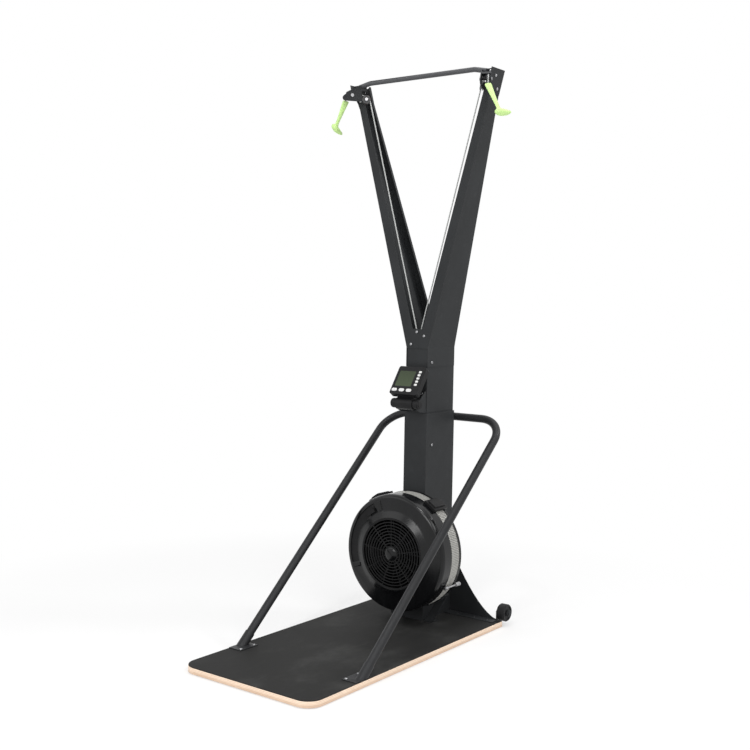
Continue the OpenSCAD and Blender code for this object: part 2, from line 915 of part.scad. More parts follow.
module rail_feet() {
  run = norm([rail_y - rail_foot_y, rail_z - deck_z - 8]);
  color([0.2, 0.2, 0.2])
    both_sides()
      difference() {
        union() {
          translate([rail_x - 45, rail_foot_y - 62, deck_z])
            cube([60, 92, 3]);
          intersection() {
            rail_frame()
              rod([rail_x, -run + 46, 0], [rail_x, -run - 40, 0], rail_d / 2 + 2.5);
            translate([rail_x - 40, rail_foot_y - 80, deck_z + 3])
              cube([80, 200, 60]);
          }
        }
        // seat for the tube
        difference() {
          rail_frame()
            rod([rail_x, -run + 60, 0], [rail_x, -run - 60, 0], rail_d / 2);
          translate([0, -platform_l, -3])
            cube([400, 2 * platform_l, deck_z + 6]);
        }
        base_screw_set(true);
      }
}

// Saddle and strap that hold the rail's level part to the column's back.
module rail_clamp() {
  r = rail_d / 2;
  color([0.2, 0.2, 0.2])
    difference() {
      union() {
        translate([-32, low_y1, rail_z - 27])
          cube([64, 3, 54]);
        translate([-26, low_y1 + 3, rail_z - 12])
          cube([52, rail_y - low_y1 - 3, 24]);
        rod([-26, rail_y, rail_z], [26, rail_y, rail_z], r + 3);
      }
      rod([-40, rail_y, rail_z], [40, rail_y, rail_z], r);
      // the strap's own joint line
      translate([-40, rail_y - 0.4, rail_z + r - 1])
        cube([80, 0.8, 8]);
      base_screw_set(true);
    }
}

// Screws into the deck and into the lower column's back.
module base_screw_set(hole = false) {
  both_sides() {
    for (y = [-50, 18])
      translate([rail_x - 35, rail_foot_y + y, deck_z + 3])
        screw(3, hole);
    for (x = [110, 190, 250])
      translate([x, low_y1 - 26, deck_z + 3])
        screw(3, hole);
    translate([80, fan_back_y + 24, deck_z + 4])
      screw(4, hole);
    // wheel bracket on the deck's rear edge
    screw_back(wheel_x - 18, rear_y + 3, foot_h + board_t / 2, hole);
  }
  for (s = [-1, 1]) {
    for (z = [deck_z + 190, deck_z + 280])
      screw_back(s * 34, low_y1 + 3, z, hole);
    for (z = [-19, 19])
      screw_back(s * 25, low_y1 + 3, rail_z + z, hole);
  }
}

module base_screws() {
  color([0.72, 0.72, 0.74])
    base_screw_set();
}

// Fan.

// Turned shape about the axle: profile points are [radius, y].
module turned(pts) {
  translate([0, 0, fan_z])
    rotate([-90, 0, 0])
      rotate_extrude($fn = 120)
        polygon(pts);
}

module fan_front_cover() {
  f = fan_face_y;
  r = fan_r;
  color([0.07, 0.07, 0.075])
    difference() {
      union() {
        turned([
          [grille_r, grille_y], [grille_r + 32, f], [r - 17, f], [r - 8, f + 3],
          [r - 2.5, f + 9], [r, f + 18], [r, band_y0], [r - 3.5, band_y0],
          [r - 3.5, band_y0 + 8], [r - 6.5, band_y0 + 8], [r - 6.5, f + 20],
          [r - 9, f + 12], [r - 13, f + 6], [r - 18, f + 3], [grille_r + 31, f + 3],
          [grille_r, grille_y + 4]
        ]);
        // raised stops at the ends of the damper's slot
        for (a = [110.5, 202])
          slot_stop(a);
      }
      // slot for the damper's lever
      damper_sector(118, 198, fan_r - 56, fan_r - 22, f - 5, 14);
    }
}

module slot_stop(a) {
  translate([0, fan_face_y - 3.5, fan_z])
    rotate([-90, 0, 0])
      rotate([0, 0, -a - 2])
        rotate_extrude(angle = 4)
          translate([fan_r - 60, 0])
            square([40, 4]);
}

// Ring sector between two angles, counted from +X towards +Z.
module damper_sector(a0, a1, r0, r1, y, w) {
  translate([0, y, fan_z])
    rotate([-90, 0, 0])
      rotate([0, 0, -a1])
        rotate_extrude(angle = a1 - a0, $fn = 96)
          translate([r0, 0])
            square([r1 - r0, w]);
}

// Half of a spoke pair, from inside the grille's hub ring to inside its rim.
module grille_spoke(a, y, w, t) {
  r0 = grille_hub_r - 12;
  translate([0, 0, fan_z])
    rotate([0, -a, 0])
      translate([r0, y, -w / 2])
        cube([grille_r - 2 - r0, t, w]);
}

grille_hub_r = 32;
module fan_grille() {
  n = 9;
  hub_r = grille_hub_r;
  pitch = (grille_r - hub_r - 4) / n;
  color([0.06, 0.06, 0.065])
    union() {
      ring_y(grille_y, 3.4, 9, hub_r);
      for (i = [1 : n])
        ring_y(grille_y + 0.6, 2.4, hub_r + i * pitch - pitch * 0.32, hub_r + i * pitch);
      ring_y(grille_y, 3.4, grille_r - 6, grille_r);
      // skirt the damper turns on
      ring_y(grille_y + 1, fan_face_y + 14 - grille_y, grille_r - 3.5, grille_r - 0.8);
      // the front spoke pair and the ribs behind the rings
      for (a = [132, 312])
        grille_spoke(a, grille_y + 0.2, 4, 2.4);
      for (a = [12 : 40 : 332])
        grille_spoke(a, grille_y + 2.2, 3, 3.4);
    }
}

module hub_cap() {
  color([0.13, 0.13, 0.14])
    turned([
      [0, grille_y - 6], [20, grille_y - 5], [27, grille_y - 2], [28, grille_y],
      [0, grille_y]
    ]);
}

// Damper: a flat ring with windows, turned by a lever in the cover's slot.
module damper_ring() {
  color([0.18, 0.18, 0.19]) {
    difference() {
      ring_y(damper_y, 2.5, grille_r + gap, fan_r - 19);
      for (a = [0 : 45 : 315])
        if (a < 100 || a > 220)
          damper_sector(a - 12, a + 12, grille_r + 14, fan_r - 32, damper_y - 1, 5);
    }
    // lever
    damper_sector(119, 128, fan_r - 55, fan_r - 40, fan_face_y - 9, 12.5);
    damper_sector(119, 131, fan_r - 55, fan_r - 46, fan_face_y - 9, 4);
  }
}

module perforated_band() {
  color([0.78, 0.78, 0.76])
    ring_y(band_y0, band_y1 - band_y0, fan_r - 3.4, fan_r - 1.4);
}

module fan_back_cover() {
  b = fan_back_y;
  r = fan_r;
  color([0.07, 0.07, 0.075])
    difference() {
      turned([
        [17.5, b - 16], [30, b - 16], [34, b - 7], [r - 10, b - 7], [r - 6.5, b - 10],
        [r - 6.5, band_y1 - 8], [r - 3.5, band_y1 - 8], [r - 3.5, band_y1],
        [r, band_y1], [r, b - 4], [r - 5, b], [17.5, b]
      ]);
      // air outlets in the back
      for (a = [0 : 30 : 330])
        if (abs(sin(a)) < 0.9)
          damper_sector(a - 9, a + 9, r - 128, r - 50, b - 12, 20);
    }
}

// Two moulded clasps over the band, at the upper left and upper right.
module band_clasps() {
  color([0.1, 0.1, 0.1])
    for (a = [56, 124])
      difference() {
        union() {
          damper_sector(a - 7, a + 7, fan_r - 1.3, fan_r + 12, band_y0 - 16,
                        fan_back_y - band_y0 + 22);
          damper_sector(a - 4.5, a + 4.5, fan_r + 11, fan_r + 17, band_y0 - 6,
                        fan_back_y - band_y0 + 2);
        }
        // relief over the two covers' own rims
        damper_sector(a - 8, a + 8, fan_r - 3, fan_r + 0.05, band_y0 - 20, 20);
        damper_sector(a - 8, a + 8, fan_r - 3, fan_r + 0.05, band_y1, 40);
      }
}

// Tie bolts that clamp the two covers, with their lugs.
module cover_clamps() {
  color([0.75, 0.75, 0.76])
    for (a = [-28.5, 208.5])
      translate([cos(a) * (fan_r + 8), 0, fan_z + sin(a) * (fan_r + 8)])
        rotate([-90, 0, 0]) {
          translate([0, 0, band_y0 - 12])
            cylinder(h = fan_back_y + 32 - band_y0, r = 4, $fn = 24);
          translate([0, 0, band_y0 - 15])
            cylinder(h = 4, r = 6.5, $fn = 6);
          for (y = [[band_y0 - 11, 9], [fan_back_y - 10, 28]])
            translate([0, 0, y[0]])
              cylinder(h = y[1], r = 8, $fn = 32);
        }
}

module fan_wheel() {
  y0 = fan_face_y + 26;
  y1 = fan_back_y - 22;
  color([0.35, 0.35, 0.36]) {
    // back disc and hub
    ring_y(y1 - 4, 4, 8.5, blade_r);
    ring_y(y0, y1 - y0, 8.5, 24);
    ring_y(y0, 3, blade_r - 16, blade_r);
    for (a = [0 : 20 : 340])
      translate([0, 0, fan_z])
        rotate([0, a, 0])
          translate([23, y0 + 1, -1])
            cube([blade_r - 24, y1 - y0 - 3, 2]);
  }
}

function drum_y(i) = col_y + 12 + (i + 0.5) * 46 - 2 * i;

module fan_axle() {
  color([0.7, 0.7, 0.72]) {
    disc_y(fan_face_y + 22, col_y + 128 - fan_face_y - 22, 8.5);
    disc_y(fan_face_y + 15, 7, 11);
    // collar behind the rear bearing
    disc_y(col_y + 124, 5, 12);
  }
}

module fan_bearings() {
  color([0.6, 0.6, 0.62]) {
    ring_y(fan_back_y - 14, 12, 8.5 + gap, 17.5);
    ring_y(col_y + 110, 12, 8.5 + gap, 17.5);
  }
}

// Bearing plate across the inside of the lower column.
module axle_bracket() {
  y = col_y + 108;
  color([0.3, 0.3, 0.31])
    difference() {
      union() {
        translate([-half_w, y + 5, fan_z - 60])
          cube([column_w, 5, 120]);
        both_sides()
          translate([half_w - 4, y - 16, fan_z - 60])
            cube([4, 26, 120]);
        disc_y(y + 2, 13, 24);
      }
      disc_y(y - 1, 30, 17.5);
    }
}

// Cord drum with its flanges and a grooved barrel.
module drum(i) {
  w = 42;
  n = 7;
  p = 5.4;
  core = drum_r - cord_d / 2 - 0.9 - gap;
  y0 = drum_y(i) - w / 2;
  color([0.62, 0.62, 0.6])
    turned(concat(
      [[8.5 + gap, y0], [core + 8, y0], [core + 8, y0 + 1.6], [core, y0 + 1.6]],
      [for (k = [0 : n - 1]) for (e = [0, 1])
        [core + (e == 0 ? 0 : 0.9), y0 + w / 2 + (k - n / 2 + 0.5 + e / 2) * p]],
      [[core, y0 + w - 1.6], [core + 8, y0 + w - 1.6], [core + 8, y0 + w],
       [8.5 + gap, y0 + w]]
    ));
}

// Saddle under the housing on two legs that stand on the deck by the column.
module fan_cradle() {
  y = fan_back_y - 16;
  color([0.1, 0.1, 0.1])
    difference() {
      union() {
        damper_sector(228, 312, fan_r, fan_r + 4, y, 14);
        both_sides() {
          plate_xz(fan_back_y, 5, [
            [62, deck_z], [98, deck_z], rim_pt(-43.7, fan_r + 4), rim_pt(-42.8, fan_r - 24),
            rim_pt(-60.4, fan_r - 3)
          ]);
          translate([62, fan_back_y, deck_z])
            cube([36, 44, 4]);
          plate_xz(y, 16.5, [
            rim_pt(-44.2, fan_r + 3.5), rim_pt(-48.8, fan_r + 3.9),
            rim_pt(-48.7, fan_r + 1), rim_pt(-43.9, fan_r + 0.3)
          ]);
        }
      }
      base_screw_set(true);
    }
}

// Monitor.

module monitor_bracket() {
  color([0.1, 0.1, 0.1])
    difference() {
      union() {
        translate([-48, col_y - 3, lower_top_z])
          cube([96, 3, 149]);
        both_sides()
          plate_yz(45, 3, [
            [col_y - 2, lower_top_z + 2], [col_y - 2, lower_top_z + 90],
            [col_y - 14, lower_top_z + 86], [tilt_y + 26, tilt_z + 16],
            [tilt_y + 10, tilt_z + 8], [tilt_y, tilt_z - 10],
            [tilt_y + 8, tilt_z - 26], [tilt_y + 28, tilt_z - 34]
          ]);
      }
      translate([-60, tilt_y, tilt_z])
        rotate([0, 90, 0])
          cylinder(h = 120, r = 19.6);
      monitor_screws(true);
    }
}

// Battery tube that is also the monitor's tilt axis, with its two end rings.
module battery_pod() {
  color([0.09, 0.09, 0.09]) {
    rod([-60, tilt_y, tilt_z], [60, tilt_y, tilt_z], 19.5);
    for (s = [-1, 1]) {
      rod([s * 60, tilt_y, tilt_z], [s * 65, tilt_y, tilt_z], 18);
      rod([s * 65, tilt_y, tilt_z], [s * 66.5, tilt_y, tilt_z], 12);
    }
  }
}

// Face frame: origin at the middle of the face's lower edge, y up the face, z out.
face_o = [0, tilt_y - 28, tilt_z + 39];
module face_frame() {
  translate(face_o)
    rotate([90 - monitor_lean, 0, 0])
      children();
}

module monitor_housing() {
  w = monitor_w;
  h = monitor_h;
  color([0.1, 0.1, 0.11])
    difference() {
      union() {
        face_frame() {
          translate([0, h / 2, -24])
            linear_extrude(height = 24)
              round_rect(w, h, 9);
          translate([0, h / 2, -30])
            linear_extrude(height = 7)
              round_rect(w - 16, h - 20, 8);
        }
        // collar and neck on the battery tube
        rod([-40, tilt_y, tilt_z], [40, tilt_y, tilt_z], 24);
        translate([-36, tilt_y, tilt_z])
          rotate([90 - monitor_lean, 0, 0])
            translate([0, 8, 3])
              cube([72, 44, 19]);
      }
      rod([-70, tilt_y, tilt_z], [70, tilt_y, tilt_z], 19.5 + gap);
      face_frame() {
        translate([-15, 72, -2.2])
          linear_extrude(height = 5)
            round_rect(76.4, 70.4, 3.2);
        for (x = menu_x)
          translate([x, 19, -6])
            linear_extrude(height = 10)
              round_rect(25.6, 14.6, 7);
        for (y = side_y)
          translate([43.5, y, -6])
            linear_extrude(height = 10)
              round_rect(13.6, 10.6, 4);
      }
    }
}

module monitor_screen() {
  color([0.45, 0.5, 0.38])
    face_frame()
      translate([-15, 72, -2.2])
        linear_extrude(height = 2)
          round_rect(76.4, 70.4, 3.2);
}

module menu_button(x) {
  color([0.93, 0.93, 0.92])
    face_frame()
      translate([x, 19, -6 + button_travel + gap])
        linear_extrude(height = 7.4 - button_travel)
          round_rect(25, 14, 6.8);
}

module side_button(y) {
  color([0.93, 0.93, 0.92])
    face_frame()
      translate([43.5, y, -6 + button_travel + gap])
        linear_extrude(height = 7.2 - button_travel)
          round_rect(13, 10, 3.8);
}

platform_board();
rubber_mat();
platform_feet();
foot_plate();
wheel_brackets();
mirror([1, 0, 0]) wheel();  // left_wheel
wheel();  // right_wheel
lower_column();
upper_column();
column_screws();
left_arm();
right_arm();
crossbar();
mirror([1, 0, 0]) head();  // left_head
head();  // right_head
mirror([1, 0, 0]) outer_plate();  // left_outer_plate
outer_plate();  // right_outer_plate
head_bolts();
mirror([1, 0, 0]) front_pulley();  // left_pulley
front_pulley();  // right_pulley
mirror([1, 0, 0]) guide_pulley();  // left_guide_pulley
guide_pulley();  // right_guide_pulley
left_drive_cord();
right_drive_cord();
mirror([1, 0, 0]) pull_cord();  // left_pull_cord
pull_cord();  // right_pull_cord
mirror([1, 0, 0]) handle(left_hang);  // left_handle
handle(right_hang);  // right_handle
cord_slot_cap();
support_rail();
rail_feet();
rail_clamp();
base_screws();
fan_front_cover();
fan_grille();
hub_cap();
damper_ring();
perforated_band();
fan_back_cover();
band_clasps();
cover_clamps();
fan_wheel();
fan_axle();
fan_bearings();
drum(1);  // left_drum
drum(0);  // right_drum
axle_bracket();
fan_cradle();
monitor_bracket();
battery_pod();
monitor_housing();
monitor_screen();
menu_button(menu_x[0]);  // menu_button_left
menu_button(menu_x[1]);  // menu_button_middle
menu_button(menu_x[2]);  // menu_button_right
side_button(side_y[0]);  // side_button_1
side_button(side_y[1]);  // side_button_2
side_button(side_y[2]);  // side_button_3
side_button(side_y[3]);  // side_button_4
side_button(side_y[4]);  // side_button_5
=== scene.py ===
import json
import math

import bmesh
import bpy
from mathutils import Matrix, Vector


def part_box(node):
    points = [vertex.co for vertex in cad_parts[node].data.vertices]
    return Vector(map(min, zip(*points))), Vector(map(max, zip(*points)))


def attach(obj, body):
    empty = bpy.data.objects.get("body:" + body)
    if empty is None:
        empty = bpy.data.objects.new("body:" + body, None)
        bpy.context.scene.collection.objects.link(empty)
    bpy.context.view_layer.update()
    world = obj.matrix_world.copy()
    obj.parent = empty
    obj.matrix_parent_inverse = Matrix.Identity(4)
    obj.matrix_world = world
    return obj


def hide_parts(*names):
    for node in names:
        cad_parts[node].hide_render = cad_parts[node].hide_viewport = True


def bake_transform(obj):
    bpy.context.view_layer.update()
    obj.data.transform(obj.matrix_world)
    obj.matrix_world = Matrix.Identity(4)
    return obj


bl_info = {
    "name": "Ski trainer machine",
    "version": (1, 0, 0),
    "blender": (4, 5, 0),
    "location": "View3D > Sidebar > Ski trainer",
    "description": "Dresses the ski trainer's CAD frame with finished pieces and materials",
    "category": "Object",
}

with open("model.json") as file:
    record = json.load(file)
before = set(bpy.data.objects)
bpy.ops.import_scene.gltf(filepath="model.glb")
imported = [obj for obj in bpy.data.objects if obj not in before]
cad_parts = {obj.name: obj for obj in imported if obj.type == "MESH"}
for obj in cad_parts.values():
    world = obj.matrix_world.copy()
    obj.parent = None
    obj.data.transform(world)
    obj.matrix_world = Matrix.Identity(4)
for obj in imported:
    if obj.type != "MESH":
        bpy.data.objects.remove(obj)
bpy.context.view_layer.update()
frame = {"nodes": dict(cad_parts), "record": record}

MM = 0.001
SAME_POINT = 0.004 * MM  # closer points of a CAD node are one
FLAT = math.radians(0.15)  # CAD triangles that turn less are one flat face
NODE_BODY = {
    node: body
    for body, nodes in frame["record"]["behaviour"]["bodies"].items()
    for node in nodes
}


# ---- shader maths


class Num:
    """A number socket that takes part in Python expressions."""

    def __init__(self, finish, socket):
        self.finish = finish
        self.socket = socket

    def _math(self, operation, *values):
        made = self.finish.node("ShaderNodeMath", {"operation": operation}, list(values))
        return Num(self.finish, made.outputs[0])

    def __add__(self, other):
        return self._math("ADD", self, other)

    def __sub__(self, other):
        return self._math("SUBTRACT", self, other)

    def __rsub__(self, other):
        return self._math("SUBTRACT", other, self)

    def __mul__(self, other):
        return self._math("MULTIPLY", self, other)

    def __truediv__(self, other):
        return self._math("DIVIDE", self, other)

    __radd__ = __add__
    __rmul__ = __mul__

    def __rtruediv__(self, other):
        return self._math("DIVIDE", other, self)

    def sine(self):
        """The sine of the number, in radians."""
        return self._math("SINE", self)

    def fraction(self):
        """What is left of the number above its whole part."""
        return self._math("FRACT", self)

    def most(self, other):
        """The greater of two numbers."""
        return self._math("MAXIMUM", self, other)

    def ease(self, low, high):
        """0 below low, 1 above high, smooth between them."""
        made = self.finish.node(
            "ShaderNodeMapRange", {"interpolation_type": "SMOOTHSTEP"}, [self, low, high, 0.0, 1.0]
        )
        return Num(self.finish, made.outputs[0])


class Finish:
    """The nodes of a material, or of the world, under construction."""

    def __init__(self, name, world=False):
        if world:
            self.owner = bpy.data.worlds.new(name)
        else:
            self.owner = bpy.data.materials.new(name + "_finish")
        self.owner.use_nodes = True
        self.tree = self.owner.node_tree
        self.tree.nodes.clear()
        self.out = self.node("ShaderNodeOutputWorld" if world else "ShaderNodeOutputMaterial")

    def node(self, kind, settings=None, values=None):
        """A node of a type, with its settings and the values or links of its sockets."""
        made = self.tree.nodes.new(kind)
        for name, value in (settings or {}).items():
            setattr(made, name, value)
        pairs = enumerate(values) if isinstance(values, list) else (values or {}).items()
        for key, value in pairs:
            if value is None:
                continue
            socket = made.inputs[key]
            if isinstance(value, Num):
                self.tree.links.new(value.socket, socket)
            elif isinstance(value, bpy.types.NodeSocket):
                self.tree.links.new(value, socket)
            else:
                socket.default_value = value
        return made

    def place(self, scale=(1.0, 1.0, 1.0), uv=False):
        """Object coordinates, or the piece's own UV map, scaled."""
        source = self.node("ShaderNodeTexCoord").outputs["UV" if uv else "Object"]
        return self.node("ShaderNodeMapping", None, {"Vector": source, "Scale": scale}).outputs[0]

    def axes(self, uv=False):
        """The three coordinates, each as a number."""
        made = self.node("ShaderNodeSeparateXYZ", None, [self.place(uv=uv)])
        return [Num(self, made.outputs[i]) for i in range(3)]

    def noise(self, scale, detail=3.0, rough=0.55, stretch=(1.0, 1.0, 1.0)):
        """Cloudy noise from 0 to 1; scale is in waves to the metre."""
        made = self.node(
            "ShaderNodeTexNoise",
            None,
            {
                "Vector": self.place(stretch),
                "Scale": scale,
                "Detail": detail,
                "Roughness": rough,
            },
        )
        return Num(self, made.outputs[0])

    def cells(self, scale):
        """Distance to the nearest of many scattered points, as in a fine grain."""
        made = self.node("ShaderNodeTexVoronoi", None, {"Vector": self.place(), "Scale": scale})
        return Num(self, made.outputs[0])

    def blend(self, amount, first, second):
        """A colour between two, by a number."""
        pair = [c if isinstance(c, bpy.types.NodeSocket) else (*c, 1.0) for c in (first, second)]
        made = self.node(
            "ShaderNodeMix", {"data_type": "RGBA"}, {0: amount, 6: pair[0], 7: pair[1]}
        )
        return made.outputs[2]

    def bump(self, height, strength, distance):
        """A normal that follows a height, with its depth in metres."""
        made = self.node(
            "ShaderNodeBump",
            None,
            {"Strength": strength, "Distance": distance, "Height": height},
        )
        return made.outputs[0]

    def join(self, shader):
        """Leads a shader to the output and gives back the material or world."""
        self.tree.links.new(shader.outputs[0], self.out.inputs["Surface"])
        return self.owner

    def surface(self, colour, rough, metal=0.0, normal=None, **fixed):
        """Makes the surface shader; fixed values go on its own sockets."""
        values = {"Base Color": colour, "Roughness": rough, "Metallic": metal, "Normal": normal}
        if not isinstance(colour, bpy.types.NodeSocket):
            values["Base Color"] = (*colour, 1.0)
        values.update({name.replace("_", " "): value for name, value in fixed.items()})
        return self.join(self.node("ShaderNodeBsdfPrincipled", None, values))


def shade(colour, k):
    """A colour made darker or lighter."""
    return tuple(min(1.0, c * k) for c in colour)


def powder_finish(name, colour, grain=1300.0, rough=0.5, shine=0.16):
    """Fine textured powder coat with faint cloudiness and rubbed patches."""
    f = Finish(name)
    cloud = f.noise(5.0, 4.0)
    rub = f.noise(34.0, 5.0, 0.65).ease(0.58, 0.78)
    peel = f.noise(grain, 2.0)
    tint = f.blend(cloud.ease(0.3, 0.7), shade(colour, 0.86), shade(colour, 1.16))
    tint = f.blend(rub * 0.35, tint, shade(colour, 1.6))
    return f.surface(
        tint,
        rub * -0.08 + cloud * 0.1 + (rough - 0.02),
        normal=f.bump(peel, 0.22, 0.0004),
        Specular_IOR_Level=shine,
    )


def gloss_finish(name, colour):
    """Polished black moulding with faint wipe marks."""
    f = Finish(name)
    wipe = f.noise(16.0, 5.0, 0.6, (1.0, 1.0, 0.35))
    ripple = f.noise(55.0, 1.0)
    return f.surface(
        f.blend(wipe.ease(0.35, 0.75), colour, shade(colour, 1.7)),
        wipe.ease(0.4, 0.8) * 0.12 + 0.16,
        normal=f.bump(ripple, 0.05, 0.0006),
        Specular_IOR_Level=0.3,
    )


def moulded_finish(name, colour, rough=0.46):
    """Satin moulding with a fine spark-eroded grain."""
    f = Finish(name)
    grit = f.cells(900.0)
    cloud = f.noise(18.0, 3.0)
    return f.surface(
        f.blend(cloud.ease(0.35, 0.7), shade(colour, 0.85), shade(colour, 1.25)),
        cloud * 0.1 + (rough - 0.05),
        normal=f.bump(grit, 0.18, 0.0003),
        Specular_IOR_Level=0.16,
    )


def metal_finish(name, colour, rough, stretch=(1.0, 1.0, 1.0)):
    """Plated or turned metal with fine tool marks and dull spots."""
    f = Finish(name)
    marks = f.noise(240.0, 3.0, 0.6, stretch)
    dull = f.noise(60.0, 4.0).ease(0.5, 0.75)
    return f.surface(
        f.blend(dull, colour, shade(colour, 0.72)),
        marks * 0.14 + dull * 0.15 + (rough - 0.07),
        metal=1.0,
        normal=f.bump(marks, 0.1, 0.0003),
    )


def silver_finish(name, colour):
    """Silver paint on perforated sheet."""
    f = Finish(name)
    flake = f.cells(2600.0)
    cloud = f.noise(12.0, 3.0)
    return f.surface(
        f.blend(cloud, shade(colour, 0.9), shade(colour, 1.08)),
        flake * 0.12 + 0.34,
        metal=0.15,
        normal=f.bump(flake, 0.06, 0.0002),
    )


def cord_finish(name, colour):
    """Braid that follows the cord by its own UV map."""
    f = Finish(name)
    round_it, along, _ = f.axes(uv=True)
    strands = 8 * 2 * math.pi  # eight to a turn
    lay = 1500.0  # radians to the metre
    one = (round_it * strands + along * lay).sine()
    other = (round_it * strands - along * lay).sine()
    weave = one * other
    return f.surface(
        f.blend(weave.ease(-0.6, 0.8), shade(colour, 0.72), colour),
        weave * 0.05 + 0.6,
        normal=f.bump(weave, 0.5, 0.0003),
        Sheen_Weight=0.15,
    )


def lime_finish(name, colour):
    """Soft moulded rubber, dulled a little where hands rub it."""
    f = Finish(name)
    grain = f.cells(700.0)
    rub = f.noise(45.0, 4.0).ease(0.45, 0.7)
    return f.surface(
        f.blend(rub, colour, shade(colour, 0.9)),
        rub * 0.1 + 0.42,
        normal=f.bump(grain, 0.06, 0.0002),
        Specular_IOR_Level=0.2,
    )


def plywood_finish(name, light, dark, low, high, plies):
    """Birch plywood: plies across the edge, grain along them, a clear lacquer, and painted shade
    on the edge's lower part.
    """
    f = Finish(name)
    _, _, z = f.axes()
    wave = f.noise(7.0, 2.0) * 0.0009
    level = (z + wave - low) / (high - low)
    ply = (level * (plies / 2)).fraction().ease(0.44, 0.56)
    grain = f.noise(320.0, 4.0, 0.6, (0.12, 0.12, 3.0))
    broad = f.noise(9.0, 3.0)
    tint = f.blend(ply, light, dark)
    # Painted light: the lower part of the edge is darkened, so the upper plies read as lit.
    tint = f.blend(level.ease(0.35, 0.6), shade(dark, 0.86), tint)
    tint = f.blend(grain.ease(0.52, 0.72) * 0.45, tint, shade(dark, 0.62))
    tint = f.blend(broad.ease(0.4, 0.8) * 0.3, tint, shade(light, 1.05))
    return f.surface(
        tint,
        grain * 0.12 + 0.36,
        normal=f.bump(ply * 0.5 + grain, 0.25, 0.0003),
        Coat_Weight=0.25,
        Coat_Roughness=0.2,
    )


def mat_finish(name, colour):
    """Rubber mat: pimpled, with dusty smudges where feet have stood."""
    f = Finish(name)
    pimple = f.cells(420.0)
    dust = f.noise(4.2, 6.0, 0.62, (1.0, 0.7, 1.0)).ease(0.47, 0.74)
    streak = f.noise(11.0, 5.0, 0.7, (2.6, 0.6, 1.0)).ease(0.55, 0.8)
    speck = f.noise(640.0, 2.0).ease(0.62, 0.72)
    tint = f.blend(dust * 0.75 + streak * 0.25, shade(colour, 0.8), shade(colour, 2.6))
    tint = f.blend(speck * 0.3, tint, shade(colour, 3.2))
    return f.surface(
        tint,
        dust * 0.08 + 0.66,
        normal=f.bump(pimple, 0.35, 0.0005),
        Specular_IOR_Level=0.12,
    )


def rubber_finish(name, colour):
    """Black rubber with grey dust in its grain."""
    f = Finish(name)
    grit = f.noise(900.0, 2.0)
    dust = f.noise(30.0, 4.0).ease(0.5, 0.75)
    return f.surface(
        f.blend(dust * 0.5, colour, shade(colour, 2.2)),
        dust * 0.1 + 0.6,
        normal=f.bump(grit, 0.25, 0.0004),
        Specular_IOR_Level=0.3,
    )


def nylon_finish(name, colour):
    """Turned nylon, a little cloudy."""
    f = Finish(name)
    cloud = f.noise(90.0, 3.0)
    return f.surface(
        f.blend(cloud, shade(colour, 0.92), colour),
        cloud * 0.1 + 0.34,
        normal=f.bump(cloud, 0.06, 0.0003),
        Subsurface_Weight=0.08,
    )


def screen_finish(name, colour, low, high):
    """Blank display behind a clear window, a little darker at its top: painted shade."""
    f = Finish(name)
    _, _, z = f.axes()
    level = (z - low) / (high - low)
    sheen = f.noise(22.0, 2.0)
    # Painted shade: the display is lighter at its bottom and darker towards its top.
    tint = f.blend(level.ease(0.0, 1.0), shade(colour, 1.12), shade(colour, 0.8))
    tint = f.blend(sheen * 0.2, tint, shade(colour, 0.7))
    return f.surface(
        tint,
        sheen * 0.05 + 0.2,
        normal=f.bump(sheen, 0.03, 0.0003),
        Coat_Weight=0.25,
        Coat_Roughness=0.08,
        Specular_IOR_Level=0.15,
    )


def button_finish(name, colour):
    """White silicone buttons, greyed a little by fingers."""
    f = Finish(name)
    rub = f.noise(150.0, 3.0)
    return f.surface(
        f.blend(rub.ease(0.5, 0.8), colour, shade(colour, 0.86)),
        rub * 0.12 + 0.34,
        normal=f.bump(rub, 0.05, 0.0002),
    )


# ---- mesh helpers


def material(name):
    """One of this script's materials; the CAD slots have the plain names."""
    return bpy.data.materials[name + "_finish"]


def add_piece(name, bm, finish, crease):
    """Adds an object with a bmesh as its mesh; edges sharper than the crease stay sharp."""
    mesh = bpy.data.meshes.new(name)
    for face in bm.faces:
        face.smooth = True
    bm.to_mesh(mesh)
    bm.free()
    mesh.set_sharp_from_angle(angle=math.radians(crease))
    mesh.materials.append(material(finish))
    piece = bpy.data.objects.new(name, mesh)
    bpy.context.scene.collection.objects.link(piece)
    return piece


def new_piece(name, bm, body, finish, replaces=(), crease=32.0):
    """Adds a modelled piece and rides it on its body.

    A piece given no body is left unattached.
    """
    bmesh.ops.recalc_face_normals(bm, faces=bm.faces)
    piece = add_piece(name, bm, finish, crease)
    if body:
        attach(piece, body)
    if replaces:
        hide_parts(*replaces)
    return piece


def joined_copy(node):
    """A bmesh of a CAD node with its loose triangles joined."""
    bm = bmesh.new()
    bm.from_mesh(frame["nodes"][node].data)
    bmesh.ops.remove_doubles(bm, verts=bm.verts, dist=SAME_POINT)
    return bm


def dress(node, finish, edge=0.0006, segments=2, crease=34.0):
    """Stands in for a CAD node: the same shape with smooth rounds and softened edges."""
    bm = joined_copy(node)
    bmesh.ops.dissolve_limit(bm, angle_limit=FLAT, verts=bm.verts, edges=bm.edges)
    piece = add_piece(node + "_made", bm, finish, crease)
    if edge:
        bevel = piece.modifiers.new("edges", "BEVEL")
        bevel.width = edge
        bevel.segments = segments
        bevel.limit_method = "ANGLE"
        bevel.angle_limit = math.radians(crease)
        bevel.use_clamp_overlap = True
        bevel.harden_normals = True
    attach(piece, NODE_BODY[node])
    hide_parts(node)
    return piece


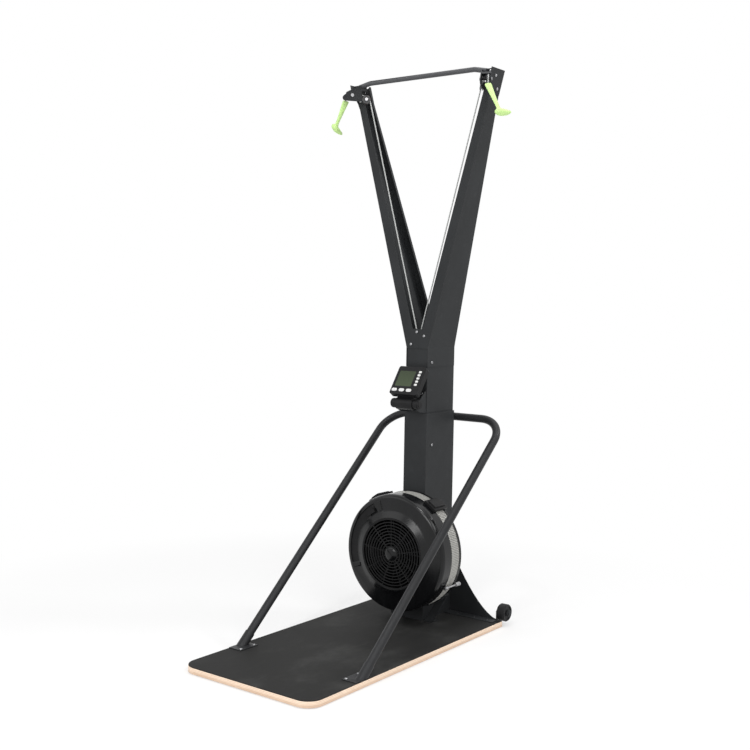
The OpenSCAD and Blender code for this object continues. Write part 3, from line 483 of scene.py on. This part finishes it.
def lathe(bm, profile, steps):
    """Turns a profile of (radius, height) about the Z axis and gives its verts."""
    verts = [bm.verts.new((r, 0, h)) for r, h in profile]
    edges = [bm.edges.new(pair) for pair in zip(verts, verts[1:])]
    before = set(bm.verts) - set(verts)
    bmesh.ops.spin(
        bm,
        geom=verts + edges,
        cent=(0, 0, 0),
        axis=(0, 0, 1),
        angle=2 * math.pi,
        steps=steps,
        use_merge=True,
    )
    poles = [v for v in bm.verts if v not in before and math.hypot(v.co.x, v.co.y) < 1e-7]
    bmesh.ops.remove_doubles(bm, verts=poles, dist=1e-6)
    return [v for v in bm.verts if v not in before]


def islands(node):
    """The loose parts of a CAD node, each as a list of its points."""
    bm = joined_copy(node)
    left, found = set(bm.verts), []
    for first in bm.verts:
        if first not in left:
            continue
        left.remove(first)
        heap, part = [first], []
        while heap:
            v = heap.pop()
            part.append(v.co.copy())
            for e in v.link_edges:
                w = e.other_vert(v)
                if w in left:
                    left.remove(w)
                    heap.append(w)
        found.append(part)
    bm.free()
    return found


def socket_screw(bm, at, axis, head_r, head_h, shank_l):
    """Domed screw with a hexagon socket, its head's seat at a point."""
    sink, shank_r = 0.52 * head_r, 3 * MM
    profile = [
        (0, -shank_l), (shank_r, -shank_l), (shank_r, 0), (head_r, 0),
        (head_r, 0.38 * head_h), (0.93 * head_r, 0.66 * head_h),
        (0.78 * head_r, 0.9 * head_h), (0.6 * head_r, head_h),
        (sink, head_h), (sink, 0.4 * head_h), (0, 0.4 * head_h),
    ]
    made = lathe(bm, profile, 24)
    for v in made:
        r = math.hypot(v.co.x, v.co.y)
        if abs(r - sink) < 1e-7 and v.co.z > 0:
            from_flat = math.degrees(math.atan2(v.co.y, v.co.x)) % 60 - 30
            k = 0.9 / math.cos(math.radians(from_flat))
            v.co.x *= k
            v.co.y *= k
    turn = Vector((0, 0, 1)).rotation_difference(Vector(axis)).to_matrix().to_4x4()
    bmesh.ops.transform(bm, matrix=Matrix.Translation(at) @ turn, verts=made)


def screw_seat(part):
    """A CAD screw's seat, the way its head points, and its head's radius and height.

    The last value is the length of its shank.
    """
    lo = Vector([min(p[i] for p in part) for i in range(3)])
    hi = Vector([max(p[i] for p in part) for i in range(3)])
    size, middle = hi - lo, (lo + hi) / 2
    k = min(range(3), key=lambda i: abs(size[(i + 1) % 3] - size[(i + 2) % 3]))
    radius = size[(k + 1) % 3] / 2
    rim = [p[k] for p in part if (p - middle - (p - middle)[k] * unit(k)).length > 0.9 * radius]
    at = middle.copy()
    if hi[k] - max(rim) < min(rim) - lo[k]:
        at[k] = min(rim)
        return at, unit(k), radius, hi[k] - at[k], at[k] - lo[k]
    at[k] = max(rim)
    return at, -unit(k), radius, at[k] - lo[k], hi[k] - at[k]


def unit(k):
    """The unit vector along X, Y or Z."""
    return Vector([1.0 if i == k else 0.0 for i in range(3)])


def skin(bm, rings):
    """Bridges rings of points one after another and closes the two ends."""
    loops = [list(dict.fromkeys(e for v in ring for e in v.link_edges)) for ring in rings]
    for one, other in zip(loops, loops[1:]):
        bmesh.ops.bridge_loops(bm, edges=one + other)
    for ring in (rings[0], rings[-1]):
        bm.faces.new(ring)


def tube(bm, points, radius, sides):
    """Sweeps a circle along points, with a UV map: u round it, v its length in metres."""
    points = [Vector(p) for p in points]
    side = (points[1] - points[0]).orthogonal().normalized()
    place = bm.verts.layers.float_vector.new("place")
    rings, length = [], 0.0
    for i, p in enumerate(points):
        t = (points[min(i + 1, len(points) - 1)] - points[max(i - 1, 0)]).normalized()
        side = (side - side.dot(t) * t).normalized()
        put = Matrix((side, t.cross(side), t)).transposed().to_4x4()
        put.translation = p
        if i:
            length += (p - points[i - 1]).length
        ring = bmesh.ops.create_circle(bm, segments=sides, radius=radius, matrix=put)["verts"]
        for k, v in enumerate(ring):
            v[place] = (k / sides, length, 0)
        rings.append(ring)
    skin(bm, rings)
    uv = bm.loops.layers.uv.verify()
    for face in bm.faces:
        around = [loop.vert[place].x for loop in face.loops]
        wraps = max(around) - min(around) > 0.5
        for loop in face.loops:
            u, v, _ = loop.vert[place]
            loop[uv].uv = (u + 1 if wraps and u < 0.5 else u, v)


def loft(bm, sections, put, sides=28):
    """Skins ovals, each given as its centre, its two half axes and their sizes."""
    rings = []
    for centre, one, other, a, b in sections:
        one, other = Vector(one), Vector(other)
        across = Matrix((one * a, other * b, one.cross(other))).transposed().to_4x4()
        across.translation = Vector(centre)
        made = bmesh.ops.create_circle(bm, segments=sides, radius=1.0, matrix=put @ across)
        rings.append(made["verts"])
    skin(bm, rings)


def box(bm, low, high, put):
    """A block between two corners, placed by a matrix."""
    low, high = Vector(low), Vector(high)
    size = high - low
    fit = Matrix.Translation((low + high) / 2) @ Matrix.Diagonal((*size, 1.0))
    bmesh.ops.create_cube(bm, size=1.0, matrix=put @ fit)


def closer_points(points, step=12 * MM):
    """Adds points along the long straight runs of a route."""
    points = [Vector(p) for p in points]
    out = [points[0]]
    for a, b in zip(points, points[1:]):
        n = max(1, min(60, int((b - a).length / step)))
        out += [a.lerp(b, (i + 1) / n) for i in range(n)]
    return out


def arc(centre, radius, start, toward, angle, steps):
    """Points on an arc from one unit direction towards another."""
    return [
        centre + radius * (math.cos(t) * start + math.sin(t) * toward)
        for t in (angle * i / steps for i in range(steps + 1))
    ]


# Places of the right head and its cord in mm; the left ones mirror them.
PULLEY_Z = 2133.0
DROP = (333.61, 329.80)  # where the pull cord hangs
KNOT_Z = 2110.0  # the knot in the handle's top
FRONT_PULLEY = (326.80, 342.61, PULLEY_Z)
CORNER_PULLEY = (273.95, 387.74, 2120.74)
CORNER_AXLE = (0.682, 0.706, -0.188)  # a direction
PULLEY_R = 14.5
CORD_TURN = (266.71, 398.0, PULLEY_Z)  # where the cord turns down along the arm
CORD_SLOT = (10.0, 398.0, 1196.0)  # in the column's cap
HEAD_AT = (303.85, 330.4)  # a head's own origin, seen from above
HEAD_OUT = (0.883, 0.4695)  # the way its axles point
HEAD_FRONT = (0.4695, -0.8829, 0.0)  # the way its cord leaves
DRUM = {1: (25.0, 425.0, 321.0), -1: (25.0, 469.0, 321.0)}  # right and left, not mirrored
CORD_R = 2.5 * MM
CORD_SIDES = 14


def drive_route(side):
    """The drive cord's route: front pulley, corner pulley, arm, column slot and drum."""
    drop, front, guide = Vector((*DROP, PULLEY_Z)), Vector(FRONT_PULLEY), Vector(CORNER_PULLEY)
    axle = Vector(CORNER_AXLE).normalized()
    corner, away = Vector(CORD_TURN), Vector(HEAD_FRONT)
    leave = math.asin(PULLEY_R / (front - corner).dot(away))
    over = arc(front, PULLEY_R, away, Vector((0, 0, 1)), math.pi / 2 + leave, 16)
    arrive = (corner - over[-1]).normalized()
    start = (arrive - arrive.dot(axle) * axle).normalized()
    slot = Vector(CORD_SLOT)
    turn = math.acos(max(-1.0, min(1.0, arrive.dot((slot - corner).normalized()))))
    first = axle.cross(start)
    if (guide + PULLEY_R * first - over[-1]).length > (guide - PULLEY_R * first - over[-1]).length:
        first = -first
    round_it = arc(guide, PULLEY_R, first, start, turn, 14)
    head = [drop, *over, *round_it, slot + Vector((0.6, 0, 4)), slot - Vector((0, 0, 6))]
    drum = Vector(DRUM[side])
    route = [Vector((side * p.x, p.y, p.z)) for p in head] + [drum + Vector((0, 0, 60)), drum]
    return [p * MM for p in route]


# Each handle: its side, its name, its lean with the way it leans and the way its toe
# points, and the tilt of its foot, in degrees.
HANDLES = (
    (1, "right_handle", (26, 10, 75), 12.0),
    (-1, "left_handle", (30, 5, 95), 27.0),
)
HANDLE_TOP = 5  # mm from the knot up to the top
FOOT_DROP = 119  # mm from the top down to the foot's middle
# Ovals down the stem in mm: height, half width, half thickness.
STEM = (
    (-1.8, 14.2, 5.6), (-3.4, 16.0, 6.9), (-8, 16.4, 7.3), (-26, 14.4, 6.9), (-46, 12.0, 6.5),
    (-68, 9.8, 6.0), (-86, 8.4, 5.7), (-98, 8.2, 5.7), (-107, 9.6, 6.4), (-114, 13.0, 8.0),
    (-120, 18.0, 9.6),
)
# Ovals from heel to toe in mm: place, half width, half height, height of the middle.
FOOT = (
    (-20.5, 5.0, 4.0, 2.6), (-18.5, 9.8, 7.3, 1.8), (-13, 14.0, 10.0, 0.9), (-3, 16.4, 11.6, 0.0),
    (10, 16.6, 12.0, -0.4), (25, 14.7, 10.3, 0.4), (39, 12.0, 7.9, 1.8), (48, 8.6, 4.9, 3.0),
    (52.5, 4.2, 2.4, 3.8),
)
HANDLE_VOXEL = 1.5 * MM


def handle_frame(side, hang):
    """The handle's own frame in mm: z up along its stem, x towards its toe."""
    lean, to, toe = (math.radians(a) for a in hang)
    put = (
        Matrix.Translation((DROP[0] * MM, DROP[1] * MM, KNOT_Z * MM))
        @ Matrix.Rotation(to, 4, "Z") @ Matrix.Rotation(-lean, 4, "Y")
        @ Matrix.Rotation(toe - to, 4, "Z") @ Matrix.Translation((0, 0, HANDLE_TOP * MM))
        @ Matrix.Scale(MM, 4)
    )
    return Matrix.Diagonal((side, 1, 1, 1)) @ put


# ---- properties


def colour_prop(name, about, value):
    """A colour that the user can change."""
    return bpy.props.FloatVectorProperty(
        name=name, description=about, default=value, size=3, min=0.0, max=1.0, subtype="COLOR"
    )


def length_prop(name, about, value):
    """A length that the user can change."""
    return bpy.props.FloatProperty(
        name=name, description=about, default=value, min=0.0, unit="LENGTH", subtype="DISTANCE"
    )


def power_prop(name, about, value):
    """A lamp's power that the user can change."""
    return bpy.props.FloatProperty(
        name=name, description=about, default=value, min=0.0, subtype="POWER"
    )


class SkiTrainerFinish(bpy.types.PropertyGroup):
    """Colours of the machine's finishes and sizes of its added detail."""

    powder: colour_prop(
        "Powder coat", "Colour of the column, arms and brackets", (0.024, 0.0255, 0.027)
    )
    rail: colour_prop("Rail coat", "Colour of the rail and the crossbar", (0.018, 0.0185, 0.02))
    housing: colour_prop("Housing", "Colour of the fan's gloss covers", (0.0028, 0.003, 0.0034))
    moulding: colour_prop("Moulding", "Colour of the satin mouldings", (0.009, 0.009, 0.0095))
    band: colour_prop("Band", "Colour of the perforated band", (0.52, 0.515, 0.485))
    lime: colour_prop("Handle", "Colour of the two handles", (0.62, 0.88, 0.34))
    ply_light: colour_prop("Light ply", "Colour of the plywood's light plies", (0.95, 0.78, 0.62))
    ply_dark: colour_prop("Dark ply", "Colour of the plywood's dark plies", (0.82, 0.58, 0.41))
    mat: colour_prop("Mat", "Colour of the rubber mat", (0.021, 0.021, 0.0205))
    cord: colour_prop("Cord", "Colour of the braided cords", (0.52, 0.53, 0.52))
    zinc: colour_prop("Zinc", "Colour of the plated screws, bolts and axles", (0.4, 0.4, 0.41))
    wheel: colour_prop("Wheels", "Colour of the transport wheels", (0.012, 0.012, 0.013))
    display: colour_prop("Display", "Colour of the blank display", (0.05, 0.068, 0.036))
    button: colour_prop("Buttons", "Colour of the monitor's buttons", (0.72, 0.72, 0.71))
    edge: length_prop("Sheet edge", "Round on the edges of folded sheet", 0.0007)
    hole_pitch: length_prop("Hole pitch", "Distance between the holes of the band", 0.0066)


class SkiTrainerStage(bpy.types.PropertyGroup):
    """Floor, light and camera."""

    floor: length_prop("Floor", "Half the length of the floor", 14.0)
    lens: bpy.props.FloatProperty(
        name="Lens", description="Focal length of the camera", default=52.687, min=10.0,
        unit="CAMERA",
    )
    key: power_prop("Key light", "Power of the key light in watts", 95.0)
    fill: power_prop("Fill light", "Power of the fill light in watts", 26.0)
    front: power_prop("Front light", "Power of the small front light in watts", 24.0)
    crest: power_prop("Crest light", "Power of the small high light in watts", 26.0)
    top: power_prop("Top light", "Power of the top light in watts", 62.0)
    rim: power_prop("Rim light", "Power of the small rear light in watts", 28.0)
    sky: bpy.props.FloatProperty(
        name="Sky", description="Strength of the world's diffuse light", default=0.5, min=0.0
    )


# ---- operators


class SKI_OT_finishes(bpy.types.Operator):
    """Makes the materials of every piece"""

    bl_idname = "ski.finishes"
    bl_label = "Finishes"

    def execute(self, context):
        p = context.scene.ski_finish
        powder_finish("powder_coat", tuple(p.powder))
        powder_finish("rail_coat", tuple(p.rail), 1700.0, 0.38, 0.22)
        # Painted highlight: the crossbar takes the rail's colour made 3.2 times lighter, as if
        # lit.
        powder_finish("bar_coat", shade(tuple(p.rail), 3.2), 1700.0, 0.3, 0.45)
        gloss_finish("gloss_housing", tuple(p.housing))
        moulded_finish("moulded_black", tuple(p.moulding))
        moulded_finish("monitor_black", shade(tuple(p.moulding), 1.2), 0.4)
        metal_finish("zinc", tuple(p.zinc), 0.34)
        metal_finish("black_steel", (0.06, 0.06, 0.062), 0.42)
        metal_finish("axle_steel", (0.55, 0.55, 0.57), 0.25, (1.0, 8.0, 1.0))
        metal_finish("wheel_alloy", (0.05, 0.05, 0.052), 0.5)
        silver_finish("silver_mesh", tuple(p.band))
        cord_finish("cord", tuple(p.cord))
        lime_finish("lime_rubber", tuple(p.lime))
        lo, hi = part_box("platform_board")
        plywood_finish("plywood", tuple(p.ply_light), tuple(p.ply_dark), lo.z, hi.z, 9)
        mat_finish("mat_rubber", tuple(p.mat))
        rubber_finish("pad_rubber", (0.02, 0.02, 0.02))
        rubber_finish("wheel_rubber", tuple(p.wheel))
        # Near-black nylon for the pulleys: painted shade for the dark between the heads' cheeks.
        nylon_finish("nylon", (0.012, 0.012, 0.013))
        lo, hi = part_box("monitor_screen")
        screen_finish("screen", tuple(p.display), lo.z, hi.z)
        button_finish("button_white", tuple(p.button))
        return {"FINISHED"}


class SKI_OT_deck(bpy.types.Operator):
    """Makes the plywood deck, its mat and the rubber pads"""

    bl_idname = "ski.deck"
    bl_label = "Deck"

    def execute(self, context):
        dress("platform_board", "plywood", 0.0014, 3)
        dress("rubber_mat", "mat_rubber", 0.0011, 3)
        dress("platform_feet", "pad_rubber", 0.0008)
        return {"FINISHED"}


ARM_ROOT = (0.0495, 0.39, 1.132)  # the foot of the right arm's web, in metres
ARM_TILT = math.radians(14.9)
# Folds that run on to an arm's top: corners in the web's frame, in mm.
ARM_TOP_FLANGE = ((-30, 56.5, 1010.2), (-0.1, 59, 1079))
ARM_TOP_LIP = ((-30, 47, 1010.2), (-27.5, 56.4, 1079))


class SKI_OT_column(bpy.types.Operator):
    """Makes the column, the arms and the plates that hold them"""

    bl_idname = "ski.column"
    bl_label = "Column and arms"

    def execute(self, context):
        edge = context.scene.ski_finish.edge
        for node in ("lower_column", "upper_column", "left_arm", "right_arm", "foot_plate",
                     "fan_cradle", "axle_bracket", "wheel_brackets", "monitor_bracket"):
            dress(node, "powder_coat", edge)
        for side, name in ((1, "right"), (-1, "left")):
            bm = bmesh.new()
            put = (
                Matrix.Diagonal((side, 1, 1, 1)) @ Matrix.Translation(ARM_ROOT)
                @ Matrix.Rotation(ARM_TILT, 4, "Y") @ Matrix.Scale(MM, 4)
            )
            for low, high in (ARM_TOP_FLANGE, ARM_TOP_LIP):
                box(bm, low, high, put)
            new_piece(name + "_arm_top", bm, "frame", "powder_coat")
        dress("cord_slot_cap", "moulded_black", edge)
        return {"FINISHED"}


# The sleeve on a front pulley's axle, painted black as shade between the cheeks, in metres: its
# two ends and a radius round it.
SLEEVE = (0.0004, 0.0342, 0.0075)


class SKI_OT_heads(bpy.types.Operator):
    """Makes the pulley heads, their plates, bolts and pulleys, and the crossbar"""

    bl_idname = "ski.heads"
    bl_label = "Pulley heads"

    def execute(self, context):
        edge = context.scene.ski_finish.edge
        for side in ("left", "right"):
            dress(side + "_head", "powder_coat", edge)
            dress(side + "_outer_plate", "powder_coat", edge)
            # The pulleys take the near-black nylon, painted shade between the cheeks.
            dress(side + "_pulley", "nylon", 0.0004)
            dress(side + "_guide_pulley", "nylon", 0.0004)
        self.sleeves(dress("head_bolts", "zinc", 0.0005))
        # The crossbar takes the lighter copy of the rail coat, a painted highlight.
        dress("crossbar", "bar_coat", 0.0008)
        return {"FINISHED"}

    def sleeves(self, bolts):
        """Blackens the sleeves between the cheeks, painted shade for the dark between them."""
        bolts.data.materials.append(material("moulded_black"))
        near, far, radius = SLEEVE
        for face in bolts.data.polygons:
            x, y = abs(face.center.x) - HEAD_AT[0] * MM, face.center.y - HEAD_AT[1] * MM
            along = x * HEAD_OUT[0] + y * HEAD_OUT[1]
            across = y * HEAD_OUT[0] - x * HEAD_OUT[1]
            if near < along < far and math.hypot(across, face.center.z - PULLEY_Z * MM) < radius:
                # Painted shade: these faces take the black moulding.
                face.material_index = 1


class SKI_OT_rail(bpy.types.Operator):
    """Makes the bent hand rail with its feet and clamp"""

    bl_idname = "ski.rail"
    bl_label = "Hand rail"

    def execute(self, context):
        dress("support_rail", "rail_coat", 0.0)
        dress("rail_feet", "rail_coat", 0.0008)
        dress("rail_clamp", "powder_coat", 0.0008)
        return {"FINISHED"}


class SKI_OT_screws(bpy.types.Operator):
    """Makes the domed screws of the column, the deck and the brackets"""

    bl_idname = "ski.screws"
    bl_label = "Screws"

    def execute(self, context):
        for node in ("column_screws", "base_screws"):
            bm, black = bmesh.new(), bmesh.new()
            for part in islands(node):
                at, axis, radius, head, shank = screw_seat(part)
                by_the_gusset = at.z < 0.2 and at.y > 0
                socket_screw(black if by_the_gusset else bm, at, axis, radius, head, shank)
            new_piece(node + "_made", bm, "frame", "zinc", (node,))
            if len(black.verts):
                new_piece(node + "_black", black, "frame", "black_steel", (node,))
        return {"FINISHED"}


class SKI_OT_handles(bpy.types.Operator):
    """Makes the two moulded handles, each a flat stem that flows into its foot"""

    bl_idname = "ski.handles"
    bl_label = "Handles"

    def execute(self, context):
        x, y, z = (unit(i) for i in range(3))
        for side, name, hang, tilt in HANDLES:
            put = handle_frame(side, hang)
            bm = bmesh.new()
            loft(bm, [((0, 0, h), x, y, a, b) for h, a, b in STEM], put)
            tip = Matrix.Rotation(math.radians(tilt), 4, "Y")
            put = put @ (Matrix.Translation((0, 0, -FOOT_DROP)) @ tip)
            loft(bm, [((h, 0, c), y, z, a, b) for h, a, b, c in FOOT], put)
            piece = new_piece(
                name + "_made", bm, NODE_BODY[name], "lime_rubber", (name,), 180
            )
            whole = piece.modifiers.new("whole", "REMESH")
            whole.mode = "VOXEL"
            whole.voxel_size = HANDLE_VOXEL
            whole.use_smooth_shade = True
            flow = piece.modifiers.new("flow", "SMOOTH")
            flow.factor = 0.5
            flow.iterations = 9
        return {"FINISHED"}


class SKI_OT_cords(bpy.types.Operator):
    """Makes the braided drive cords and pull cords"""

    bl_idname = "ski.cords"
    bl_label = "Cords"

    def execute(self, context):
        for side, name in ((1, "right"), (-1, "left")):
            bm = bmesh.new()
            tube(bm, closer_points(drive_route(side)), CORD_R, CORD_SIDES)
            new_piece(
                name + "_drive_cord_made", bm, "frame", "cord", (name + "_drive_cord",), 60
            )
            top, hang = Vector((side * DROP[0], DROP[1], PULLEY_Z)) * MM, (PULLEY_Z - KNOT_Z) * MM
            bm = bmesh.new()
            down = [top - Vector((0, 0, hang * i / 10)) for i in range(11)]
            tube(bm, down, CORD_R - 0.05 * MM, CORD_SIDES)
            pull = new_piece(
                name + "_pull_cord_made", bm, None, "cord", (name + "_pull_cord",), 60
            )
            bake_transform(pull)
        return {"FINISHED"}


HOLE_RIM = 0.2  # sheet round a hole of the fan's band, as a share of the pitch
HOLE_CORNER = 0.17  # cut of its corners, likewise
BAND_SHEET = 1.2 * MM


class SKI_OT_fan(bpy.types.Operator):
    """Makes the fan housing, its grille, band, clasps and the flywheel inside"""

    bl_idname = "ski.fan"
    bl_label = "Fan"

    def execute(self, context):
        dress("fan_front_cover", "gloss_housing", 0.0012, 3, 24.0)
        dress("fan_back_cover", "gloss_housing", 0.0008, 2, 24.0)
        dress("hub_cap", "gloss_housing", 0.0008, 3, 24.0)
        dress("fan_grille", "moulded_black", 0.0)
        dress("damper_ring", "moulded_black", 0.0006)
        dress("band_clasps", "moulded_black", 0.0016, 3)
        dress("cover_clamps", "zinc", 0.0006)
        dress("fan_wheel", "wheel_alloy", 0.0)
        dress("fan_axle", "axle_steel", 0.0006)
        dress("fan_bearings", "axle_steel", 0.0006)
        dress("left_drum", "wheel_alloy", 0.0)
        dress("right_drum", "wheel_alloy", 0.0)
        self.band(context.scene.ski_finish.hole_pitch)
        return {"FINISHED"}

    def band(self, pitch):
        """Perforated sheet: a grid with eight-sided holes, rolled to the band's radius."""
        lo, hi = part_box("perforated_band")
        radius, width, middle = (hi.x - lo.x) / 2, hi.y - lo.y, (lo + hi) / 2
        round_n, across = int(2 * math.pi * radius / pitch), int(width / pitch)
        bm = bmesh.new()
        bmesh.ops.create_grid(bm, x_segments=round_n, y_segments=across, size=1.0)
        for v in bm.verts:
            v.co = Vector(((v.co.x + 1) * math.pi * radius, (v.co.y + 1) / 2 * width, 0))
        cells = list(bm.faces)
        bmesh.ops.inset_individual(bm, faces=cells, thickness=HOLE_RIM * pitch)
        inner = [v for f in cells for v in f.verts]
        bmesh.ops.delete(bm, geom=cells, context="FACES_ONLY")
        bmesh.ops.bevel(
            bm,
            geom=inner,
            offset=HOLE_CORNER * pitch,
            segments=1,
            profile=0.5,
            affect="VERTICES",
            material=-1,
        )
        for v in bm.verts:
            a = v.co.x / radius
            v.co = Vector(
                (middle.x + radius * math.cos(a), lo.y + v.co.y, middle.z + radius * math.sin(a))
            )
        bmesh.ops.remove_doubles(bm, verts=bm.verts, dist=0.00001)
        bmesh.ops.recalc_face_normals(bm, faces=bm.faces)
        bmesh.ops.solidify(bm, geom=bm.faces[:], thickness=BAND_SHEET)
        new_piece(
            "perforated_band_made", bm, "frame", "silver_mesh", ("perforated_band",)
        )


class SKI_OT_monitor(bpy.types.Operator):
    """Makes the monitor, its display, buttons and battery tube"""

    bl_idname = "ski.monitor"
    bl_label = "Monitor"

    def execute(self, context):
        dress("monitor_housing", "monitor_black", 0.0022, 3)
        dress("battery_pod", "monitor_black", 0.0012, 3)
        dress("monitor_screen", "screen", 0.0003)
        for node in frame["nodes"]:
            if "button" in node:
                dress(node, "button_white", 0.0012, 3)
        return {"FINISHED"}


class SKI_OT_wheels(bpy.types.Operator):
    """Makes the two transport wheels"""

    bl_idname = "ski.wheels"
    bl_label = "Transport wheels"

    def execute(self, context):
        dress("left_wheel", "wheel_rubber", 0.001)
        dress("right_wheel", "wheel_rubber", 0.001)
        return {"FINISHED"}


WHITE = (1.0, 1.0, 1.0, 1.0)
# Each lamp: the property with its power, its place, what it points at, its side.
LAMPS = (
    ("key", (4.4, -2.2, 3.9), (0.0, 0.1, 1.0), 3.0),
    ("fill", (-3.4, -4.0, 3.6), (0.0, 0.2, 1.0), 3.0),
    ("front", (-0.45, -3.9, 1.62), (0.0, 0.3, 0.6), 1.1),
    ("crest", (0.72, -1.95, 3.9), (0.0, 0.3, 0.4), 0.45),
    ("top", (0.4, 0.4, 5.4), (0.0, 0.0, 0.0), 3.4),
    ("rim", (2.2, 2.2, 3.4), (0.0, 0.3, 0.4), 0.6),
)
CAMERA_AT = (2.495651, -3.203225, 1.314841)
CAMERA_TURN = (37.356, 5.454, 0.88)  # yaw, pitch and roll in degrees
CAMERA_SHIFT = (0.0104, 0.04)
SENSOR_W = 36.0


class SKI_OT_stage(bpy.types.Operator):
    """Makes the floor, the lights, the world and the camera"""

    bl_idname = "ski.stage"
    bl_label = "Floor, light and camera"

    def execute(self, context):
        scene, p = context.scene, context.scene.ski_stage
        self.floor(p.floor)
        self.world(scene, p.sky)
        for name, place, aim, size in LAMPS:
            self.lamp(name, place, aim, size, getattr(p, name))
        self.camera(scene, p.lens)
        scene.view_settings.view_transform = "Standard"
        return {"FINISHED"}

    def floor(self, half):
        """Pale paper near the machine that turns to plain white far from it."""
        bm = bmesh.new()
        bmesh.ops.create_grid(bm, x_segments=1, y_segments=1, size=half)
        mesh = bpy.data.meshes.new("floor")
        bm.to_mesh(mesh)
        bm.free()
        floor = bpy.data.objects.new("floor", mesh)
        bpy.context.scene.collection.objects.link(floor)
        f = Finish("floor")
        x, y, _ = f.axes()
        far = (x * x + y * y).ease(1.0, 5.0) * 0.5 + 0.5
        paper = f.node("ShaderNodeBsdfDiffuse", None, {"Color": (0.97, 0.97, 0.97, 1.0)})
        white = f.node("ShaderNodeEmission", None, {"Color": WHITE, "Strength": 1.0})
        path = f.node("ShaderNodeLightPath")
        seen = Num(f, path.outputs["Is Camera Ray"]) + Num(f, path.outputs["Is Glossy Ray"])
        mix = f.node(
            "ShaderNodeMixShader", None, [far * seen, paper.outputs[0], white.outputs[0]]
        )
        mesh.materials.append(f.join(mix))

    def world(self, scene, sky):
        """White to the camera and in reflections, and a plain level of light elsewhere."""
        f = Finish("studio", world=True)
        path = f.node("ShaderNodeLightPath")
        camera, glossy, clear = (
            Num(f, path.outputs[ray])
            for ray in ("Is Camera Ray", "Is Glossy Ray", "Is Transmission Ray")
        )
        seen = camera.most(glossy.most(clear))
        strength = seen * (1.0 - sky) + sky
        back = f.node("ShaderNodeBackground", None, {"Color": WHITE, "Strength": strength})
        scene.world = f.join(back)

    def lamp(self, name, place, aim, size, power):
        """A square lamp that faces a point."""
        light = bpy.data.lights.new(name, "AREA")
        light.size = size
        light.energy = power
        lamp = bpy.data.objects.new(name, light)
        lamp.location = place
        back = Vector(place) - Vector(aim)
        lamp.rotation_euler = back.to_track_quat("Z", "Y").to_euler()
        bpy.context.scene.collection.objects.link(lamp)

    def camera(self, scene, lens):
        """The photograph's camera."""
        yaw, pitch, roll = (math.radians(a) for a in CAMERA_TURN)
        back = Vector(
            (math.sin(yaw) * math.cos(pitch), -math.cos(yaw) * math.cos(pitch), math.sin(pitch))
        )
        right = (-back).cross(Vector((0, 0, 1))).normalized()
        up = right.cross(-back)
        side = math.cos(roll) * right + math.sin(roll) * up
        top = -math.sin(roll) * right + math.cos(roll) * up
        turn = Matrix((side, top, back)).transposed()
        data = bpy.data.cameras.new("camera")
        data.lens = lens
        data.sensor_width = SENSOR_W
        data.shift_x, data.shift_y = CAMERA_SHIFT
        data.clip_end = 100.0
        camera = bpy.data.objects.new("camera", data)
        camera.matrix_world = Matrix.Translation(CAMERA_AT) @ turn.to_4x4()
        scene.collection.objects.link(camera)
        scene.camera = camera


class SKI_PT_panel(bpy.types.Panel):
    """Lists the steps that make the ski trainer"""

    bl_label = "Ski trainer"
    bl_idname = "SKI_PT_panel"
    bl_space_type = "VIEW_3D"
    bl_region_type = "UI"
    bl_category = "Ski trainer"

    def draw(self, context):
        for step in STEPS:
            self.layout.operator(step.bl_idname)
        for group in (context.scene.ski_finish, context.scene.ski_stage):
            for name in group.__annotations__:
                self.layout.prop(group, name)


STEPS = (
    SKI_OT_stage, SKI_OT_finishes, SKI_OT_deck, SKI_OT_column, SKI_OT_heads, SKI_OT_rail,
    SKI_OT_screws, SKI_OT_handles, SKI_OT_cords, SKI_OT_fan, SKI_OT_monitor, SKI_OT_wheels,
)
CLASSES = (SkiTrainerFinish, SkiTrainerStage, *STEPS, SKI_PT_panel)


def register():
    """Registers the classes and the two groups of properties."""
    for cls in CLASSES:
        bpy.utils.register_class(cls)
    bpy.types.Scene.ski_finish = bpy.props.PointerProperty(type=SkiTrainerFinish)
    bpy.types.Scene.ski_stage = bpy.props.PointerProperty(type=SkiTrainerStage)


def unregister():
    """Takes back what register made."""
    del bpy.types.Scene.ski_stage
    del bpy.types.Scene.ski_finish
    for cls in reversed(CLASSES):
        bpy.utils.unregister_class(cls)


def main():
    register()
    for step in STEPS:
        getattr(bpy.ops.ski, step.bl_idname.split(".")[1])()


if __name__ == "__main__":
    main()
